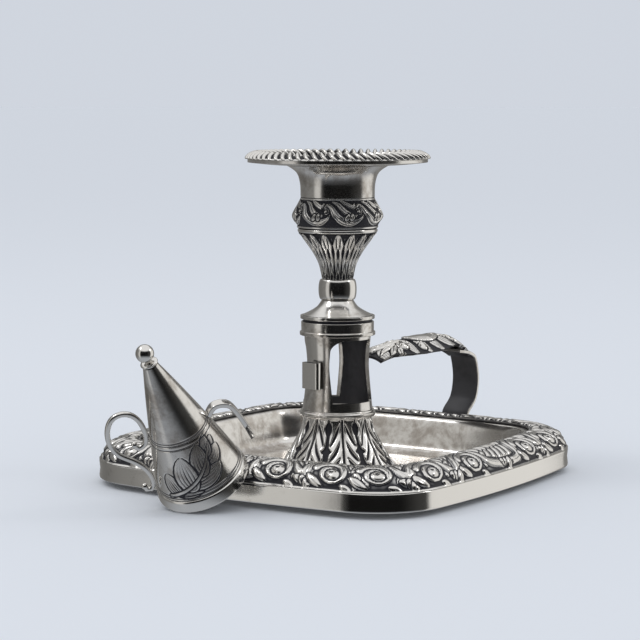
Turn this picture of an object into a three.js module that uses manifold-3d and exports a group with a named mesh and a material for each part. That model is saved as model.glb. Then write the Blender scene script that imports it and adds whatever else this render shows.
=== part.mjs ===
// Silver chamber candlestick: a square tray with a slotted column, a lift-out nozzle, a strap
// handle with a leaf thumb-piece, and a loose cone extinguisher that leans on the tray.
// Millimetres, +Z up. The origin is on the column's axis, on the surface the tray stands on.
// The tray's sides lie square to X and Y. The handle stands on the +X side, and the
// extinguisher leans on the -X side.
import * as THREE from "three";
import { mergeVertices } from "three/addons/utils/BufferGeometryUtils.js";
import Module from "manifold-3d";

const wasm = await Module();
wasm.setup();

// ---- driving dimensions -------------------------------------------------------------------
const SOLDER_GAP = 0.1; // between stacked pieces that are soldered face to face
const CAST_GAP = 0.3; // between soldered pieces that meet at a slant
const TABLE_CLEARANCE = 0.05;

// tray
const TRAY_HALF = 65; // centre to the middle of a side
const SIDE_BOW_RADIUS = 400; // the sides swell gently outwards
const CORNER_RADIUS = 24;
const CORNER_SHRINK = 0.6; // how fast the corner radius falls as the outline steps inwards
const PAN_SHEET = 1.2;
const PAN_FOOT_INSET = 19; // tray edge to the foot of the pan's wall
const BORDER_WIDTH = 12;
const BORDER_RISE = 7.1; // height of the border's quarter-round
const BORDER_WALL = 1.8;
const BAND_HEIGHT = 6; // plain band round the tray's edge
const BAND_WALL = 1.5;
const BAND_LIFT = 2; // the band clears the table

// column
const SKIRT_FOOT_RADIUS = 21.3;
const SKIRT_TOP_RADIUS = 11.3;
const SKIRT_HEIGHT = 18.7;
const SHEET = 1.1; // wall of the raised sheet pieces of the column
const LOWER_COLLAR_RADIUS = 12.6;
const LOWER_COLLAR_HEIGHT = 2.3;
const STEM_HEIGHT = 24.5;
const STEM_FOOT_RADIUS = 11.6;
const STEM_WAIST_RADIUS = 10.45;
const STEM_TOP_RADIUS = 11;
const STEM_WALL = 1.1;
const SLOT_HEIGHT = 20.6; // the snuffers' slot through the stem
const SLOT_SILL = 2.8; // solid ring below the slot
const SLOT_HALF_WIDTH = 8.5;
const SLOT_SHIFT = -0.6; // its middle stands off the axis, away from the handle
const SLOT_CORNER = 3.5;
const UPPER_COLLAR_RADIUS = 12.5;
const UPPER_COLLAR_HEIGHT = 6.5;
const SHOULDER_HEIGHT = 4.9;
const NECK_RING_RADIUS = 5.2; // column's narrowest, above and below the knop
const KNOP_RADIUS = 6.3;
const KNOP_HEIGHT = 6.8;
const CALYX_HEIGHT = 15.1;
const CALYX_SPREAD = 0.7; // the calyx's top stands out past the neck
const WIRE_RADIUS = 0.8; // half-round wire between calyx and scroll band
const SCROLL_BAND_HEIGHT = 9.9;
const SCROLL_BAND_SWELL = 2.8; // the band swells out past the neck
const NECK_HEIGHT = 10.3;
const NECK_WALL = 0.9;
const NECK_FLARE = 4.5; // the neck's lip stands out past its waist

// nozzle
const CANDLE_BORE_RADIUS = 10.5;
const SLEEVE_WALL = 0.6;
const SLEEVE_CLEARANCE = 0.2; // the sleeve slides in the neck
const SLEEVE_DEPTH = 15;
const DRIP_PAN_RADIUS = 29.6;
const DRIP_PAN_SHEET = 1.1;
const GADROON_RADIUS = 30.5;
const GADROON_WIDTH = 6.6;
const GADROON_HEIGHT = 3.9;

// handle
const HANDLE_TURN = THREE.MathUtils.degToRad(-11.5);
const HANDLE_INSET = 4.2; // tray's side to the strap's foot
const HANDLE_BOW = 5.2; // the strap bows out past its foot
const STRAP_WIDTH = 11.5;
const STRAP_THICKNESS = 1.2;
const THUMB_TIP = 15.3; // column axis to the thumb-piece's tip
const THUMB_SETBACK = 4; // strap's bow to the thumb-piece's outer end
const THUMB_WIDTH = 19;
const THUMB_THICKNESS = 1.6;
const THUMB_RIDGE_Z = 44;

// hook socket on the stem
const SOCKET_HALF_WIDTH = 3.6;
const SOCKET_HEIGHT = 8.6;
const SOCKET_SILL = 7.6; // stem's foot to the socket's lower end
const SOCKET_SLOT_DEPTH = 1.4;
const SOCKET_SLOT_WIDTH = 4.4;
const SOCKET_REACH = 13.4;

// extinguisher
const CONE_RADIUS = 14.7;
const CONE_HEIGHT = 46.2;
const CONE_TIP_RADIUS = 2.3;
const CONE_WALL = 0.9;
const CONE_BAND_HEIGHT = 3.8;
const BALL_RADIUS = 2.8;
const BALL_COLLAR_RADIUS = 3;
const BALL_COLLAR_HEIGHT = 1.1;
const LEAN = THREE.MathUtils.degToRad(34.5); // the cone's tilt, away from the tray
const LEAN_CLEARANCE = 0.3; // between the cone's mouth and the border it leans on
const CONE_ALONG_SIDE = 4.1;
const FITTINGS_TURN = THREE.MathUtils.degToRad(-44); // scroll handle's place round the cone
const SCROLL_WIRE = 1.6;
const SCROLL_REACH = 21.6; // cone's axis to the scroll handle's bow
const HOOK_WIDTH = 3;
const HOOK_THICKNESS = 1.1;
const HOOK_STANDOFF = 5.2; // clear space between the hook's blade and the cone

const LATHE_STEPS = 28;

// ---- sizes that follow from the driving dimensions -----------------------------------------
const sleeveRadius = CANDLE_BORE_RADIUS + SLEEVE_WALL;
const neckBore = sleeveRadius + SLEEVE_CLEARANCE;
const neckRadius = neckBore + NECK_WALL;
const neckLipRadius = neckRadius + NECK_FLARE;
const calyxTopRadius = neckRadius + CALYX_SPREAD;
const handleReach = TRAY_HALF - HANDLE_INSET + HANDLE_BOW;

const skirtFootZ = PAN_SHEET + SOLDER_GAP;
const skirtTopZ = skirtFootZ + SKIRT_HEIGHT;
const lowerCollarZ = skirtTopZ + SOLDER_GAP;
const stemZ = lowerCollarZ + LOWER_COLLAR_HEIGHT + SOLDER_GAP;
const upperCollarZ = stemZ + STEM_HEIGHT + SOLDER_GAP;
const shoulderZ = upperCollarZ + UPPER_COLLAR_HEIGHT + SOLDER_GAP;
const knopZ = shoulderZ + SHOULDER_HEIGHT + SOLDER_GAP;
const calyxZ = knopZ + KNOP_HEIGHT + SOLDER_GAP;
const wireZ = calyxZ + CALYX_HEIGHT + SOLDER_GAP;
const scrollBandZ = wireZ + 2 * WIRE_RADIUS + SOLDER_GAP;
const neckZ = scrollBandZ + SCROLL_BAND_HEIGHT + SOLDER_GAP;
const neckLipZ = neckZ + NECK_HEIGHT;
const dripPanZ = neckLipZ + SOLDER_GAP;
const borderFootZ = BAND_LIFT + BAND_HEIGHT + SOLDER_GAP;
const borderTopZ = borderFootZ + BORDER_RISE;
const borderCrest = TRAY_HALF - BORDER_WIDTH * 0.75; // where the quarter-round is highest

// ---- shape helpers --------------------------------------------------------------------------
// Turns a profile of [radius, height] pairs about Z. It starts and ends on the axis, or closes
// on itself, and runs anticlockwise with the radius to the right and the height up.
function turned(profile, steps = LATHE_STEPS) {
  const points = profile.map(([r, z]) => new THREE.Vector2(r, z));
  return new THREE.LatheGeometry(points, steps).rotateX(Math.PI / 2);
}

// Closes a wall on itself: outer face upwards, then the same line stepped inwards, downwards.
function shell(outer, wall) {
  const inner = outer.map(([r, z]) => [Math.max(r - wall, 0.5), z]).reverse();
  return turned([...outer, ...inner, outer[0]]);
}

// A smooth curve through a few [radius, height] points, as a list of pairs.
function smooth(points, count) {
  const curve = new THREE.SplineCurve(points.map(([r, z]) => new THREE.Vector2(r, z)));
  return curve.getPoints(count).map((p) => [p.x, p.y]);
}

// The tray's outline stepped inwards: four bowed sides joined by round corners.
const SIDE_STEPS = 6;
const CORNER_STEPS = 5;
function trayOutline(inset) {
  const half = TRAY_HALF - inset;
  const bow = SIDE_BOW_RADIUS - inset;
  const corner = Math.max(CORNER_RADIUS - CORNER_SHRINK * inset, 2);
  const back = half - bow; // centre of the side's arc
  const k = (back + Math.sqrt(2 * (bow - corner) ** 2 - back ** 2)) / 2; // corner's centre
  const sweep = Math.atan2(k, k - back);
  const quarter = [];
  for (let i = 0; i < SIDE_STEPS; i++) {
    const a = sweep * ((2 * i) / SIDE_STEPS - 1);
    quarter.push([back + bow * Math.cos(a), bow * Math.sin(a)]);
  }
  for (let i = 0; i < CORNER_STEPS; i++) {
    const a = sweep + (Math.PI / 2 - 2 * sweep) * (i / CORNER_STEPS);
    quarter.push([k + corner * Math.cos(a), k + corner * Math.sin(a)]);
  }
  const turns = [(p) => p, ([x, y]) => [-y, x], ([x, y]) => [-x, -y], ([x, y]) => [y, -x]];
  const loop = turns.flatMap((turn) => quarter.map(turn));
  return [...loop, loop[0]];
}

// A turned shape drawn out to the tray's outline: a radius becomes a distance from the middle
// of a side, and inside the pan's wall the outline just shrinks towards the centre.
function trayShape(profile) {
  const steps = 4 * (SIDE_STEPS + CORNER_STEPS);
  const shape = turned(profile, steps);
  const at = shape.getAttribute("position");
  for (let i = 0; i <= steps; i++) {
    profile.forEach(([u, z], j) => {
      const inset = Math.min(TRAY_HALF - u, PAN_FOOT_INSET);
      const share = u / (TRAY_HALF - inset);
      const [x, y] = trayOutline(inset)[i];
      at.setXYZ(i * profile.length + j, x * share, y * share, z);
    });
  }
  return shape;
}

// A solid for joining and cutting, and back again.
function solid(geometry) {
  const bare = geometry.clone();
  bare.deleteAttribute("normal");
  bare.deleteAttribute("uv");
  const merged = mergeVertices(bare, 1e-4);
  return new wasm.Manifold(
    new wasm.Mesh({
      numProp: 3,
      vertProperties: new Float32Array(merged.attributes.position.array),
      triVerts: new Uint32Array(merged.index.array),
    }),
  );
}

function geometryOf(body) {
  const mesh = body.getMesh();
  const geometry = new THREE.BufferGeometry();
  geometry.setAttribute("position", new THREE.BufferAttribute(mesh.vertProperties, 3));
  geometry.setIndex(new THREE.BufferAttribute(mesh.triVerts, 1));
  geometry.computeVertexNormals();
  return geometry;
}

// Extrudes a side outline, given in X and Z, evenly to both sides of the XZ plane.
function sidePlate(outline, width) {
  const shape = new THREE.Shape(outline.map(([x, z]) => new THREE.Vector2(x, z)));
  const plate = new THREE.ExtrudeGeometry(shape, { depth: width, bevelEnabled: false });
  return plate.rotateX(Math.PI / 2).translate(0, width / 2, 0);
}

// The outline of a strip that follows a curve in the XZ plane, thickness to its left.
function strip(points, thickness, count) {
  const curve = new THREE.SplineCurve(points.map(([x, z]) => new THREE.Vector2(x, z)));
  const near = [];
  const far = [];
  for (let i = 0; i <= count; i++) {
    const p = curve.getPoint(i / count);
    const t = curve.getTangent(i / count);
    near.push([p.x, p.y]);
    far.unshift([p.x - t.y * thickness, p.y + t.x * thickness]);
  }
  return [...near, ...far];
}

// ---- finishes -------------------------------------------------------------------------------
const silver = (color, roughness) =>
  new THREE.MeshStandardMaterial({ color, roughness, metalness: 1 });
const BRIGHT = silver(0xcfcdc8, 0.22);
const WORN = silver(0xb3ada3, 0.32);
const CHASED = silver(0x8d8a88, 0.38);

const candlestick = new THREE.Group();
function add(name, geometry, material, parent = candlestick) {
  const mesh = new THREE.Mesh(geometry, material);
  mesh.name = name;
  parent.add(mesh);
  return mesh;
}

// ---- tray -----------------------------------------------------------------------------------
const panFoot = TRAY_HALF - PAN_FOOT_INSET;
const borderInner = TRAY_HALF - BORDER_WIDTH;
const rimSeatZ = borderTopZ - BORDER_WALL - SOLDER_GAP; // the pan's rim lies under the border
const panLip = borderInner + 3.2;
add(
  "tray_pan",
  trayShape([
    [0, 0],
    [panFoot, 0],
    [panFoot + 1.6, PAN_SHEET * 0.6],
    [borderInner - 0.4, rimSeatZ - PAN_SHEET],
    [panLip, rimSeatZ - PAN_SHEET],
    [panLip, rimSeatZ],
    [borderInner - 1.6, rimSeatZ],
    [panFoot, PAN_SHEET],
    [0, PAN_SHEET],
  ]),
  WORN,
);

// quarter-round border, hollow underneath
const ovolo = (inset, count) =>
  Array.from({ length: count + 1 }, (_, i) => {
    const a = (i / count) * (Math.PI / 2);
    const run = TRAY_HALF - inset - borderCrest;
    return [
      borderCrest + run * Math.cos(a),
      borderFootZ + (BORDER_RISE - inset) * Math.sin(a),
    ];
  });
const borderOuter = ovolo(0, 5);
const borderInside = ovolo(BORDER_WALL, 3).reverse();
add(
  "tray_border",
  trayShape([
    ...borderOuter,
    [borderInner, borderTopZ - 0.7],
    [borderInner, borderTopZ - BORDER_WALL],
    ...borderInside,
    borderOuter[0],
  ]),
  CHASED,
);

add(
  "tray_rim_band",
  trayShape([
    [TRAY_HALF - BAND_WALL, BAND_LIFT],
    [TRAY_HALF, BAND_LIFT],
    [TRAY_HALF, BAND_LIFT + BAND_HEIGHT],
    [TRAY_HALF - BAND_WALL, BAND_LIFT + BAND_HEIGHT],
    [TRAY_HALF - BAND_WALL, BAND_LIFT],
  ]),
  BRIGHT,
);

// ---- column ---------------------------------------------------------------------------------
add(
  "foot_skirt",
  shell(
    smooth(
      [
        [SKIRT_FOOT_RADIUS, skirtFootZ],
        [SKIRT_FOOT_RADIUS - 3.6, skirtFootZ + 4.6],
        [SKIRT_FOOT_RADIUS - 6.1, skirtFootZ + 8.8],
        [SKIRT_TOP_RADIUS + 1, skirtTopZ - 4.5],
        [SKIRT_TOP_RADIUS, skirtTopZ],
      ],
      6,
    ),
    SHEET,
  ),
  CHASED,
);

const collarRound = 0.6;
add(
  "lower_collar",
  turned([
    [0, lowerCollarZ],
    [LOWER_COLLAR_RADIUS - collarRound, lowerCollarZ],
    [LOWER_COLLAR_RADIUS, lowerCollarZ + collarRound],
    [LOWER_COLLAR_RADIUS, lowerCollarZ + LOWER_COLLAR_HEIGHT - collarRound],
    [LOWER_COLLAR_RADIUS - collarRound, lowerCollarZ + LOWER_COLLAR_HEIGHT],
    [0, lowerCollarZ + LOWER_COLLAR_HEIGHT],
  ]),
  WORN,
);

// waisted tube with the snuffers' slot cut through it, square to the handle
const stemOuter = smooth(
  [
    [STEM_FOOT_RADIUS, stemZ],
    [STEM_WAIST_RADIUS + 0.25, stemZ + STEM_HEIGHT * 0.4],
    [STEM_WAIST_RADIUS, stemZ + STEM_HEIGHT * 0.65],
    [STEM_TOP_RADIUS, stemZ + STEM_HEIGHT],
  ],
  6,
);
const slotOutline = new THREE.Shape();
const slotFootZ = stemZ + SLOT_SILL;
const slotTopZ = slotFootZ + SLOT_HEIGHT;
slotOutline.moveTo(-SLOT_HALF_WIDTH, slotFootZ);
slotOutline.lineTo(SLOT_HALF_WIDTH, slotFootZ);
slotOutline.lineTo(SLOT_HALF_WIDTH, slotTopZ - SLOT_CORNER);
slotOutline.absarc(
  SLOT_HALF_WIDTH - SLOT_CORNER, slotTopZ - SLOT_CORNER, SLOT_CORNER, 0, Math.PI / 2, false,
);
slotOutline.absarc(
  SLOT_CORNER - SLOT_HALF_WIDTH, slotTopZ - SLOT_CORNER, SLOT_CORNER, Math.PI / 2, Math.PI, false,
);
slotOutline.lineTo(-SLOT_HALF_WIDTH, slotFootZ);
const slotCut = new THREE.ExtrudeGeometry(slotOutline, {
  depth: 3 * STEM_FOOT_RADIUS,
  bevelEnabled: false,
  curveSegments: 4,
})
  .rotateX(Math.PI / 2)
  .translate(SLOT_SHIFT, 1.5 * STEM_FOOT_RADIUS, 0)
  .rotateZ(HANDLE_TURN);
add(
  "slotted_stem",
  geometryOf(solid(shell(stemOuter, STEM_WALL)).subtract(solid(slotCut))),
  WORN,
);

// flat tube for the extinguisher's hook, on the stem's wall opposite the handle
const socketZ = stemZ + SOCKET_SILL;
const socketRoot = STEM_WAIST_RADIUS + 0.3 + CAST_GAP; // clears the waisted wall behind it
const socketFrame = new THREE.Shape();
socketFrame.moveTo(socketRoot, -SOCKET_HALF_WIDTH);
socketFrame.lineTo(SOCKET_REACH, -SOCKET_HALF_WIDTH);
socketFrame.lineTo(SOCKET_REACH, SOCKET_HALF_WIDTH);
socketFrame.lineTo(socketRoot, SOCKET_HALF_WIDTH);
socketFrame.closePath();
const socketMiddle = (socketRoot + SOCKET_REACH) / 2;
const socketSlot = new THREE.Path();
socketSlot.moveTo(socketMiddle - SOCKET_SLOT_DEPTH / 2, -SOCKET_SLOT_WIDTH / 2);
socketSlot.lineTo(socketMiddle - SOCKET_SLOT_DEPTH / 2, SOCKET_SLOT_WIDTH / 2);
socketSlot.lineTo(socketMiddle + SOCKET_SLOT_DEPTH / 2, SOCKET_SLOT_WIDTH / 2);
socketSlot.lineTo(socketMiddle + SOCKET_SLOT_DEPTH / 2, -SOCKET_SLOT_WIDTH / 2);
socketSlot.closePath();
socketFrame.holes.push(socketSlot);
const hookSocket = new THREE.ExtrudeGeometry(socketFrame, {
  depth: SOCKET_HEIGHT,
  bevelEnabled: false,
});
add(
  "hook_socket",
  hookSocket.rotateZ(Math.PI + HANDLE_TURN).translate(0, 0, socketZ),
  BRIGHT,
);

const collarFlange = 1.1;
const collarGroove = 0.6;
add(
  "upper_collar",
  turned([
    [0, upperCollarZ],
    [UPPER_COLLAR_RADIUS, upperCollarZ],
    [UPPER_COLLAR_RADIUS, upperCollarZ + collarFlange],
    [UPPER_COLLAR_RADIUS - 0.5, upperCollarZ + collarFlange],
    [UPPER_COLLAR_RADIUS - 0.5, upperCollarZ + UPPER_COLLAR_HEIGHT - collarFlange - collarGroove],
    [UPPER_COLLAR_RADIUS - 1.1, upperCollarZ + UPPER_COLLAR_HEIGHT - collarFlange - collarGroove],
    [UPPER_COLLAR_RADIUS - 1.1, upperCollarZ + UPPER_COLLAR_HEIGHT - collarFlange],
    [UPPER_COLLAR_RADIUS - 0.2, upperCollarZ + UPPER_COLLAR_HEIGHT - collarFlange],
    [UPPER_COLLAR_RADIUS - 0.2, upperCollarZ + UPPER_COLLAR_HEIGHT],
    [UPPER_COLLAR_RADIUS - 2.3, upperCollarZ + UPPER_COLLAR_HEIGHT],
    [UPPER_COLLAR_RADIUS - 2.3, upperCollarZ + collarFlange],
    [0, upperCollarZ + collarFlange],
  ]),
  WORN,
);

add(
  "shoulder",
  shell(
    smooth(
      [
        [UPPER_COLLAR_RADIUS - 0.9, shoulderZ],
        [UPPER_COLLAR_RADIUS - 3.6, shoulderZ + 1.3],
        [UPPER_COLLAR_RADIUS - 5.8, shoulderZ + 2.8],
        [NECK_RING_RADIUS, shoulderZ + SHOULDER_HEIGHT],
      ],
      5,
    ),
    SHEET,
  ),
  WORN,
);

// flattened ball with a drilled centre
const knopSwell = KNOP_RADIUS - NECK_RING_RADIUS;
const knopOuter = Array.from({ length: 7 }, (_, i) => [
  NECK_RING_RADIUS + knopSwell * Math.sin((i / 6) * Math.PI) ** 0.7,
  knopZ + (KNOP_HEIGHT * (1 - Math.cos((i / 6) * Math.PI))) / 2,
]);
const boreThroughKnop = NECK_RING_RADIUS - SHEET;
add(
  "knop",
  turned([
    ...knopOuter,
    [boreThroughKnop, knopZ + KNOP_HEIGHT],
    [boreThroughKnop, knopZ],
    knopOuter[0],
  ]),
  BRIGHT,
);

add(
  "calyx",
  shell(
    smooth(
      [
        [NECK_RING_RADIUS, calyxZ],
        [NECK_RING_RADIUS + 1.05, calyxZ + CALYX_HEIGHT * 0.31],
        [NECK_RING_RADIUS + 2.9, calyxZ + CALYX_HEIGHT * 0.56],
        [calyxTopRadius - 2.5, calyxZ + CALYX_HEIGHT * 0.78],
        [calyxTopRadius, calyxZ + CALYX_HEIGHT],
      ],
      6,
    ),
    SHEET,
  ),
  CHASED,
);

const wireBend = calyxTopRadius - 0.4;
const wireSection = Array.from({ length: 7 }, (_, i) => [
  wireBend + WIRE_RADIUS * Math.sin((i / 6) * 2 * Math.PI),
  wireZ + WIRE_RADIUS * (1 - Math.cos((i / 6) * 2 * Math.PI)),
]);
add("calyx_wire", turned(wireSection), BRIGHT);

const bandSwellRadius = neckRadius + SCROLL_BAND_SWELL;
const bandOuter = smooth(
  [
    [calyxTopRadius + 0.4, scrollBandZ],
    [bandSwellRadius - 0.6, scrollBandZ + 2],
    [bandSwellRadius, scrollBandZ + 4.3],
    [neckRadius + 1, scrollBandZ + 8],
    [neckRadius, scrollBandZ + SCROLL_BAND_HEIGHT],
  ],
  6,
);
const bandInner = bandOuter.map(([r, z]) => [Math.max(r - SHEET, neckBore), z]).reverse();
add("scroll_band", turned([...bandOuter, ...bandInner, bandOuter[0]]), CHASED);

// disc across the capital that a candle stands on
const stopZ = scrollBandZ + 1;
const stopInset = 0.35;
add(
  "candle_stop",
  turned([
    [0, stopZ],
    [calyxTopRadius + 0.4 - SHEET - stopInset, stopZ],
    [calyxTopRadius + 0.4 - SHEET - stopInset, stopZ + SHEET],
    [0, stopZ + SHEET],
  ]),
  WORN,
);

const neckOuter = smooth(
  [
    [neckRadius, neckZ],
    [neckRadius + 0.2, neckZ + NECK_HEIGHT * 0.44],
    [neckRadius + 1.4, neckZ + NECK_HEIGHT * 0.78],
    [neckLipRadius, neckLipZ],
  ],
  6,
);
add(
  "capital_neck",
  turned([...neckOuter, [neckBore, neckLipZ], [neckBore, neckZ], neckOuter[0]]),
  WORN,
);

// ---- nozzle, which lifts out ------------------------------------------------------------------
const sleeveTopZ = dripPanZ + DRIP_PAN_SHEET + 0.3;
add(
  "nozzle_sleeve",
  turned([
    [CANDLE_BORE_RADIUS, dripPanZ - SLEEVE_DEPTH],
    [sleeveRadius, dripPanZ - SLEEVE_DEPTH],
    [sleeveRadius, sleeveTopZ],
    [CANDLE_BORE_RADIUS, sleeveTopZ],
    [CANDLE_BORE_RADIUS, dripPanZ - SLEEVE_DEPTH],
  ]),
  WORN,
);

const panRise = 1; // the drip pan turns up towards its edge
const panEye = sleeveRadius + SOLDER_GAP;
add(
  "drip_pan",
  turned([
    [panEye, dripPanZ],
    [neckLipRadius, dripPanZ],
    [DRIP_PAN_RADIUS, dripPanZ + panRise],
    [DRIP_PAN_RADIUS, dripPanZ + panRise + DRIP_PAN_SHEET],
    [neckLipRadius, dripPanZ + DRIP_PAN_SHEET],
    [panEye, dripPanZ + DRIP_PAN_SHEET],
    [panEye, dripPanZ],
  ]),
  WORN,
);

// half-round rim that the gadroons are cast on
const rimFootZ = dripPanZ + panRise + DRIP_PAN_SHEET + SOLDER_GAP;
const rimInner = GADROON_RADIUS - GADROON_WIDTH;
const gadroonCrest = rimInner + GADROON_WIDTH * 0.4;
const gadroonTopZ = rimFootZ - SOLDER_GAP - DRIP_PAN_SHEET + GADROON_HEIGHT;
const rimArc = Array.from({ length: 6 }, (_, i) => {
  const a = (i / 5) * (Math.PI / 2);
  return [
    gadroonCrest + (GADROON_RADIUS - gadroonCrest) * Math.cos(a),
    rimFootZ + (gadroonTopZ - rimFootZ) * Math.sin(a),
  ];
});
add(
  "gadroon_rim",
  turned([
    ...rimArc,
    [rimInner + 0.8, gadroonTopZ - 0.8],
    [rimInner, rimFootZ + 0.6],
    [rimInner, rimFootZ],
    rimArc[0],
  ]),
  CHASED,
);

// ---- handle -----------------------------------------------------------------------------------
const handle = new THREE.Group();
handle.rotation.z = HANDLE_TURN;
candlestick.add(handle);

// strap: stands on the border, bows outwards and turns in under the thumb-piece
const strapFoot = TRAY_HALF - HANDLE_INSET;
const strapFootZ = borderTopZ - 0.05;
add(
  "handle_strap",
  sidePlate(
    strip(
      [
        [strapFoot, strapFootZ],
        [handleReach - 1.4, strapFootZ + 4.4],
        [handleReach, strapFootZ + 11.4],
        [handleReach - 1.2, strapFootZ + 18.4],
        [handleReach - 5.2, THUMB_RIDGE_Z - 8.4],
        [handleReach - 10.5, THUMB_RIDGE_Z - 6.1],
      ],
      STRAP_THICKNESS,
      14,
    ),
    STRAP_WIDTH,
  ),
  BRIGHT,
);

// thumb-piece: a leaf, domed across, that runs from over the strap to beside the stem
const thumbLength = handleReach - THUMB_SETBACK - THUMB_TIP;
function thumbRidge(along) {
  // 0 at the tip, 1 over the strap's bow
  const tipDrop = 4.2 * (1 - Math.min(along / 0.55, 1)) ** 2;
  const endDrop = 5.2 * Math.max((along - 0.7) / 0.3, 0) ** 2;
  return THUMB_RIDGE_Z - tipDrop - endDrop;
}
const thumbHalfWidth = (along) =>
  (THUMB_WIDTH / 2) * (0.3 + 0.7 * Math.sin(Math.PI * Math.min(along * 0.82 + 0.12, 1)) ** 0.7);
const thumbSag = (along) => 3.2 * Math.sin(Math.PI * Math.min(Math.max(along, 0.08), 0.8));
const leaf = new THREE.BoxGeometry(1, 2, 1, 12, 6, 1);
const leafAt = leaf.getAttribute("position");
for (let i = 0; i < leafAt.count; i++) {
  const along = leafAt.getX(i) + 0.5;
  const across = leafAt.getY(i);
  const under = 0.5 - leafAt.getZ(i);
  leafAt.setXYZ(
    i,
    THUMB_TIP + thumbLength * along,
    thumbHalfWidth(along) * across,
    thumbRidge(along) - thumbSag(along) * across ** 2 - THUMB_THICKNESS * under,
  );
}
add("thumb_piece", leaf, CHASED, handle);
handle.add(candlestick.getObjectByName("handle_strap"));

// ---- extinguisher, which is loose -------------------------------------------------------------
// Its mouth touches the table at its outer edge, and its plane just clears the border's
// quarter-round, an ellipse about the crest's foot.
const leanSin = Math.sin(LEAN);
const leanCos = Math.cos(LEAN);
const mouthZ = CONE_RADIUS * leanSin + TABLE_CLEARANCE;
const ovoloReach = Math.hypot((TRAY_HALF - borderCrest) * leanSin, BORDER_RISE * leanCos);
const borderReach = borderCrest * leanSin + borderFootZ * leanCos + ovoloReach;
const mouthOut = (borderReach + LEAN_CLEARANCE - mouthZ * leanCos) / leanSin;
const extinguisher = new THREE.Group();
extinguisher.position.set(-mouthOut, CONE_ALONG_SIDE, mouthZ);
extinguisher.rotation.set(0, LEAN, Math.PI, "ZYX");
candlestick.add(extinguisher);

// the cone's side swells very slightly
const coneFootZ = CONE_BAND_HEIGHT + CAST_GAP;
function coneRadiusAt(z) {
  const share = z / CONE_HEIGHT;
  const swell = 2 * share * (1 - share);
  return CONE_RADIUS + (CONE_TIP_RADIUS - CONE_RADIUS) * share + swell;
}
const coneSide = Array.from({ length: 6 }, (_, i) => {
  const z = coneFootZ + (CONE_HEIGHT - coneFootZ) * (i / 5);
  return [coneRadiusAt(z), z];
});
add(
  "extinguisher_cone",
  turned([
    ...coneSide,
    [0, CONE_HEIGHT],
    [0, CONE_HEIGHT - CONE_WALL],
    ...coneSide
      .slice(0, -1)
      .reverse()
      .map(([r, z]) => [r - CONE_WALL, z]),
    coneSide[0],
  ]),
  BRIGHT,
  extinguisher,
);

add(
  "extinguisher_band",
  shell(
    [
      [CONE_RADIUS - 0.3, 0],
      [CONE_RADIUS, 0.4],
      [CONE_RADIUS - 0.5, CONE_BAND_HEIGHT - 0.4],
      [CONE_RADIUS - 0.9, CONE_BAND_HEIGHT],
    ],
    CONE_WALL,
  ),
  BRIGHT,
  extinguisher,
);

const ballCollarZ = CONE_HEIGHT + CAST_GAP;
add(
  "finial_collar",
  turned([
    [0, ballCollarZ],
    [BALL_COLLAR_RADIUS, ballCollarZ],
    [BALL_COLLAR_RADIUS, ballCollarZ + BALL_COLLAR_HEIGHT],
    [0, ballCollarZ + BALL_COLLAR_HEIGHT],
  ]),
  BRIGHT,
  extinguisher,
);

const ballZ = ballCollarZ + BALL_COLLAR_HEIGHT + CAST_GAP + BALL_RADIUS;
add(
  "finial_ball",
  new THREE.SphereGeometry(BALL_RADIUS, 14, 8).rotateX(Math.PI / 2).translate(0, 0, ballZ),
  BRIGHT,
  extinguisher,
);

// Moves a side plate that was drawn at the part's centre to its place round the cone.
const besideCone = (geometry, turn) => geometry.rotateZ(turn);

// scroll handle: curls off the cone, loops outwards and comes back to it lower down
const scrollTopZ = CONE_HEIGHT * 0.735;
const scrollFootZ = CONE_HEIGHT * 0.18;
const scrollUpperJoin = coneRadiusAt(CONE_HEIGHT * 0.55) + CAST_GAP;
const scrollLowerJoin = coneRadiusAt(scrollFootZ + 0.8) + CAST_GAP;
add(
  "scroll_handle",
  besideCone(
    sidePlate(
      strip(
        [
          [scrollLowerJoin + 3.3, scrollFootZ - 0.9],
          [scrollLowerJoin + 3.1, scrollFootZ - 1.9],
          [scrollLowerJoin + 3.1, scrollFootZ - 2.2],
          [scrollLowerJoin + 2.7, scrollFootZ - 2.1],
          [scrollLowerJoin + 2.2, scrollFootZ - 1.6],
          [scrollLowerJoin + 1.9, scrollFootZ - 0.4],
          [scrollLowerJoin + 1.8, scrollFootZ + 1.9],
          [scrollLowerJoin + 2.3, scrollFootZ + 4.4],
          [scrollLowerJoin + 3.7, scrollFootZ + 7.4],
          [SCROLL_REACH - 3.1, scrollTopZ - 15.5],
          [SCROLL_REACH - 1.0, scrollTopZ - 12.5],
          [SCROLL_REACH, scrollTopZ - 8.9],
          [SCROLL_REACH - 0.2, scrollTopZ - 5.2],
          [SCROLL_REACH - 1.5, scrollTopZ - 1.7],
          [SCROLL_REACH - 4.2, scrollTopZ + 1.1],
          [scrollUpperJoin + 4.7, scrollTopZ + 1.3],
          [scrollUpperJoin + 1.7, scrollTopZ - 1.2],
          [scrollUpperJoin + 0.5, scrollTopZ - 4.5],
          [scrollUpperJoin + 0.3, scrollTopZ - 7.2],
          [scrollUpperJoin + 0.5, scrollTopZ - 9.6],
          [scrollUpperJoin + 1.2, scrollTopZ - 11.8],
          [scrollUpperJoin + 2.6, scrollTopZ - 13.4],
          [scrollUpperJoin + 5.4, scrollTopZ - 13.6],
          [scrollUpperJoin + 6.4, scrollTopZ - 11.5],
        ],
        SCROLL_WIRE,
        40,
      ),
      SCROLL_WIRE,
    ),
    FITTINGS_TURN,
  ),
  BRIGHT,
  extinguisher,
);

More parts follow.
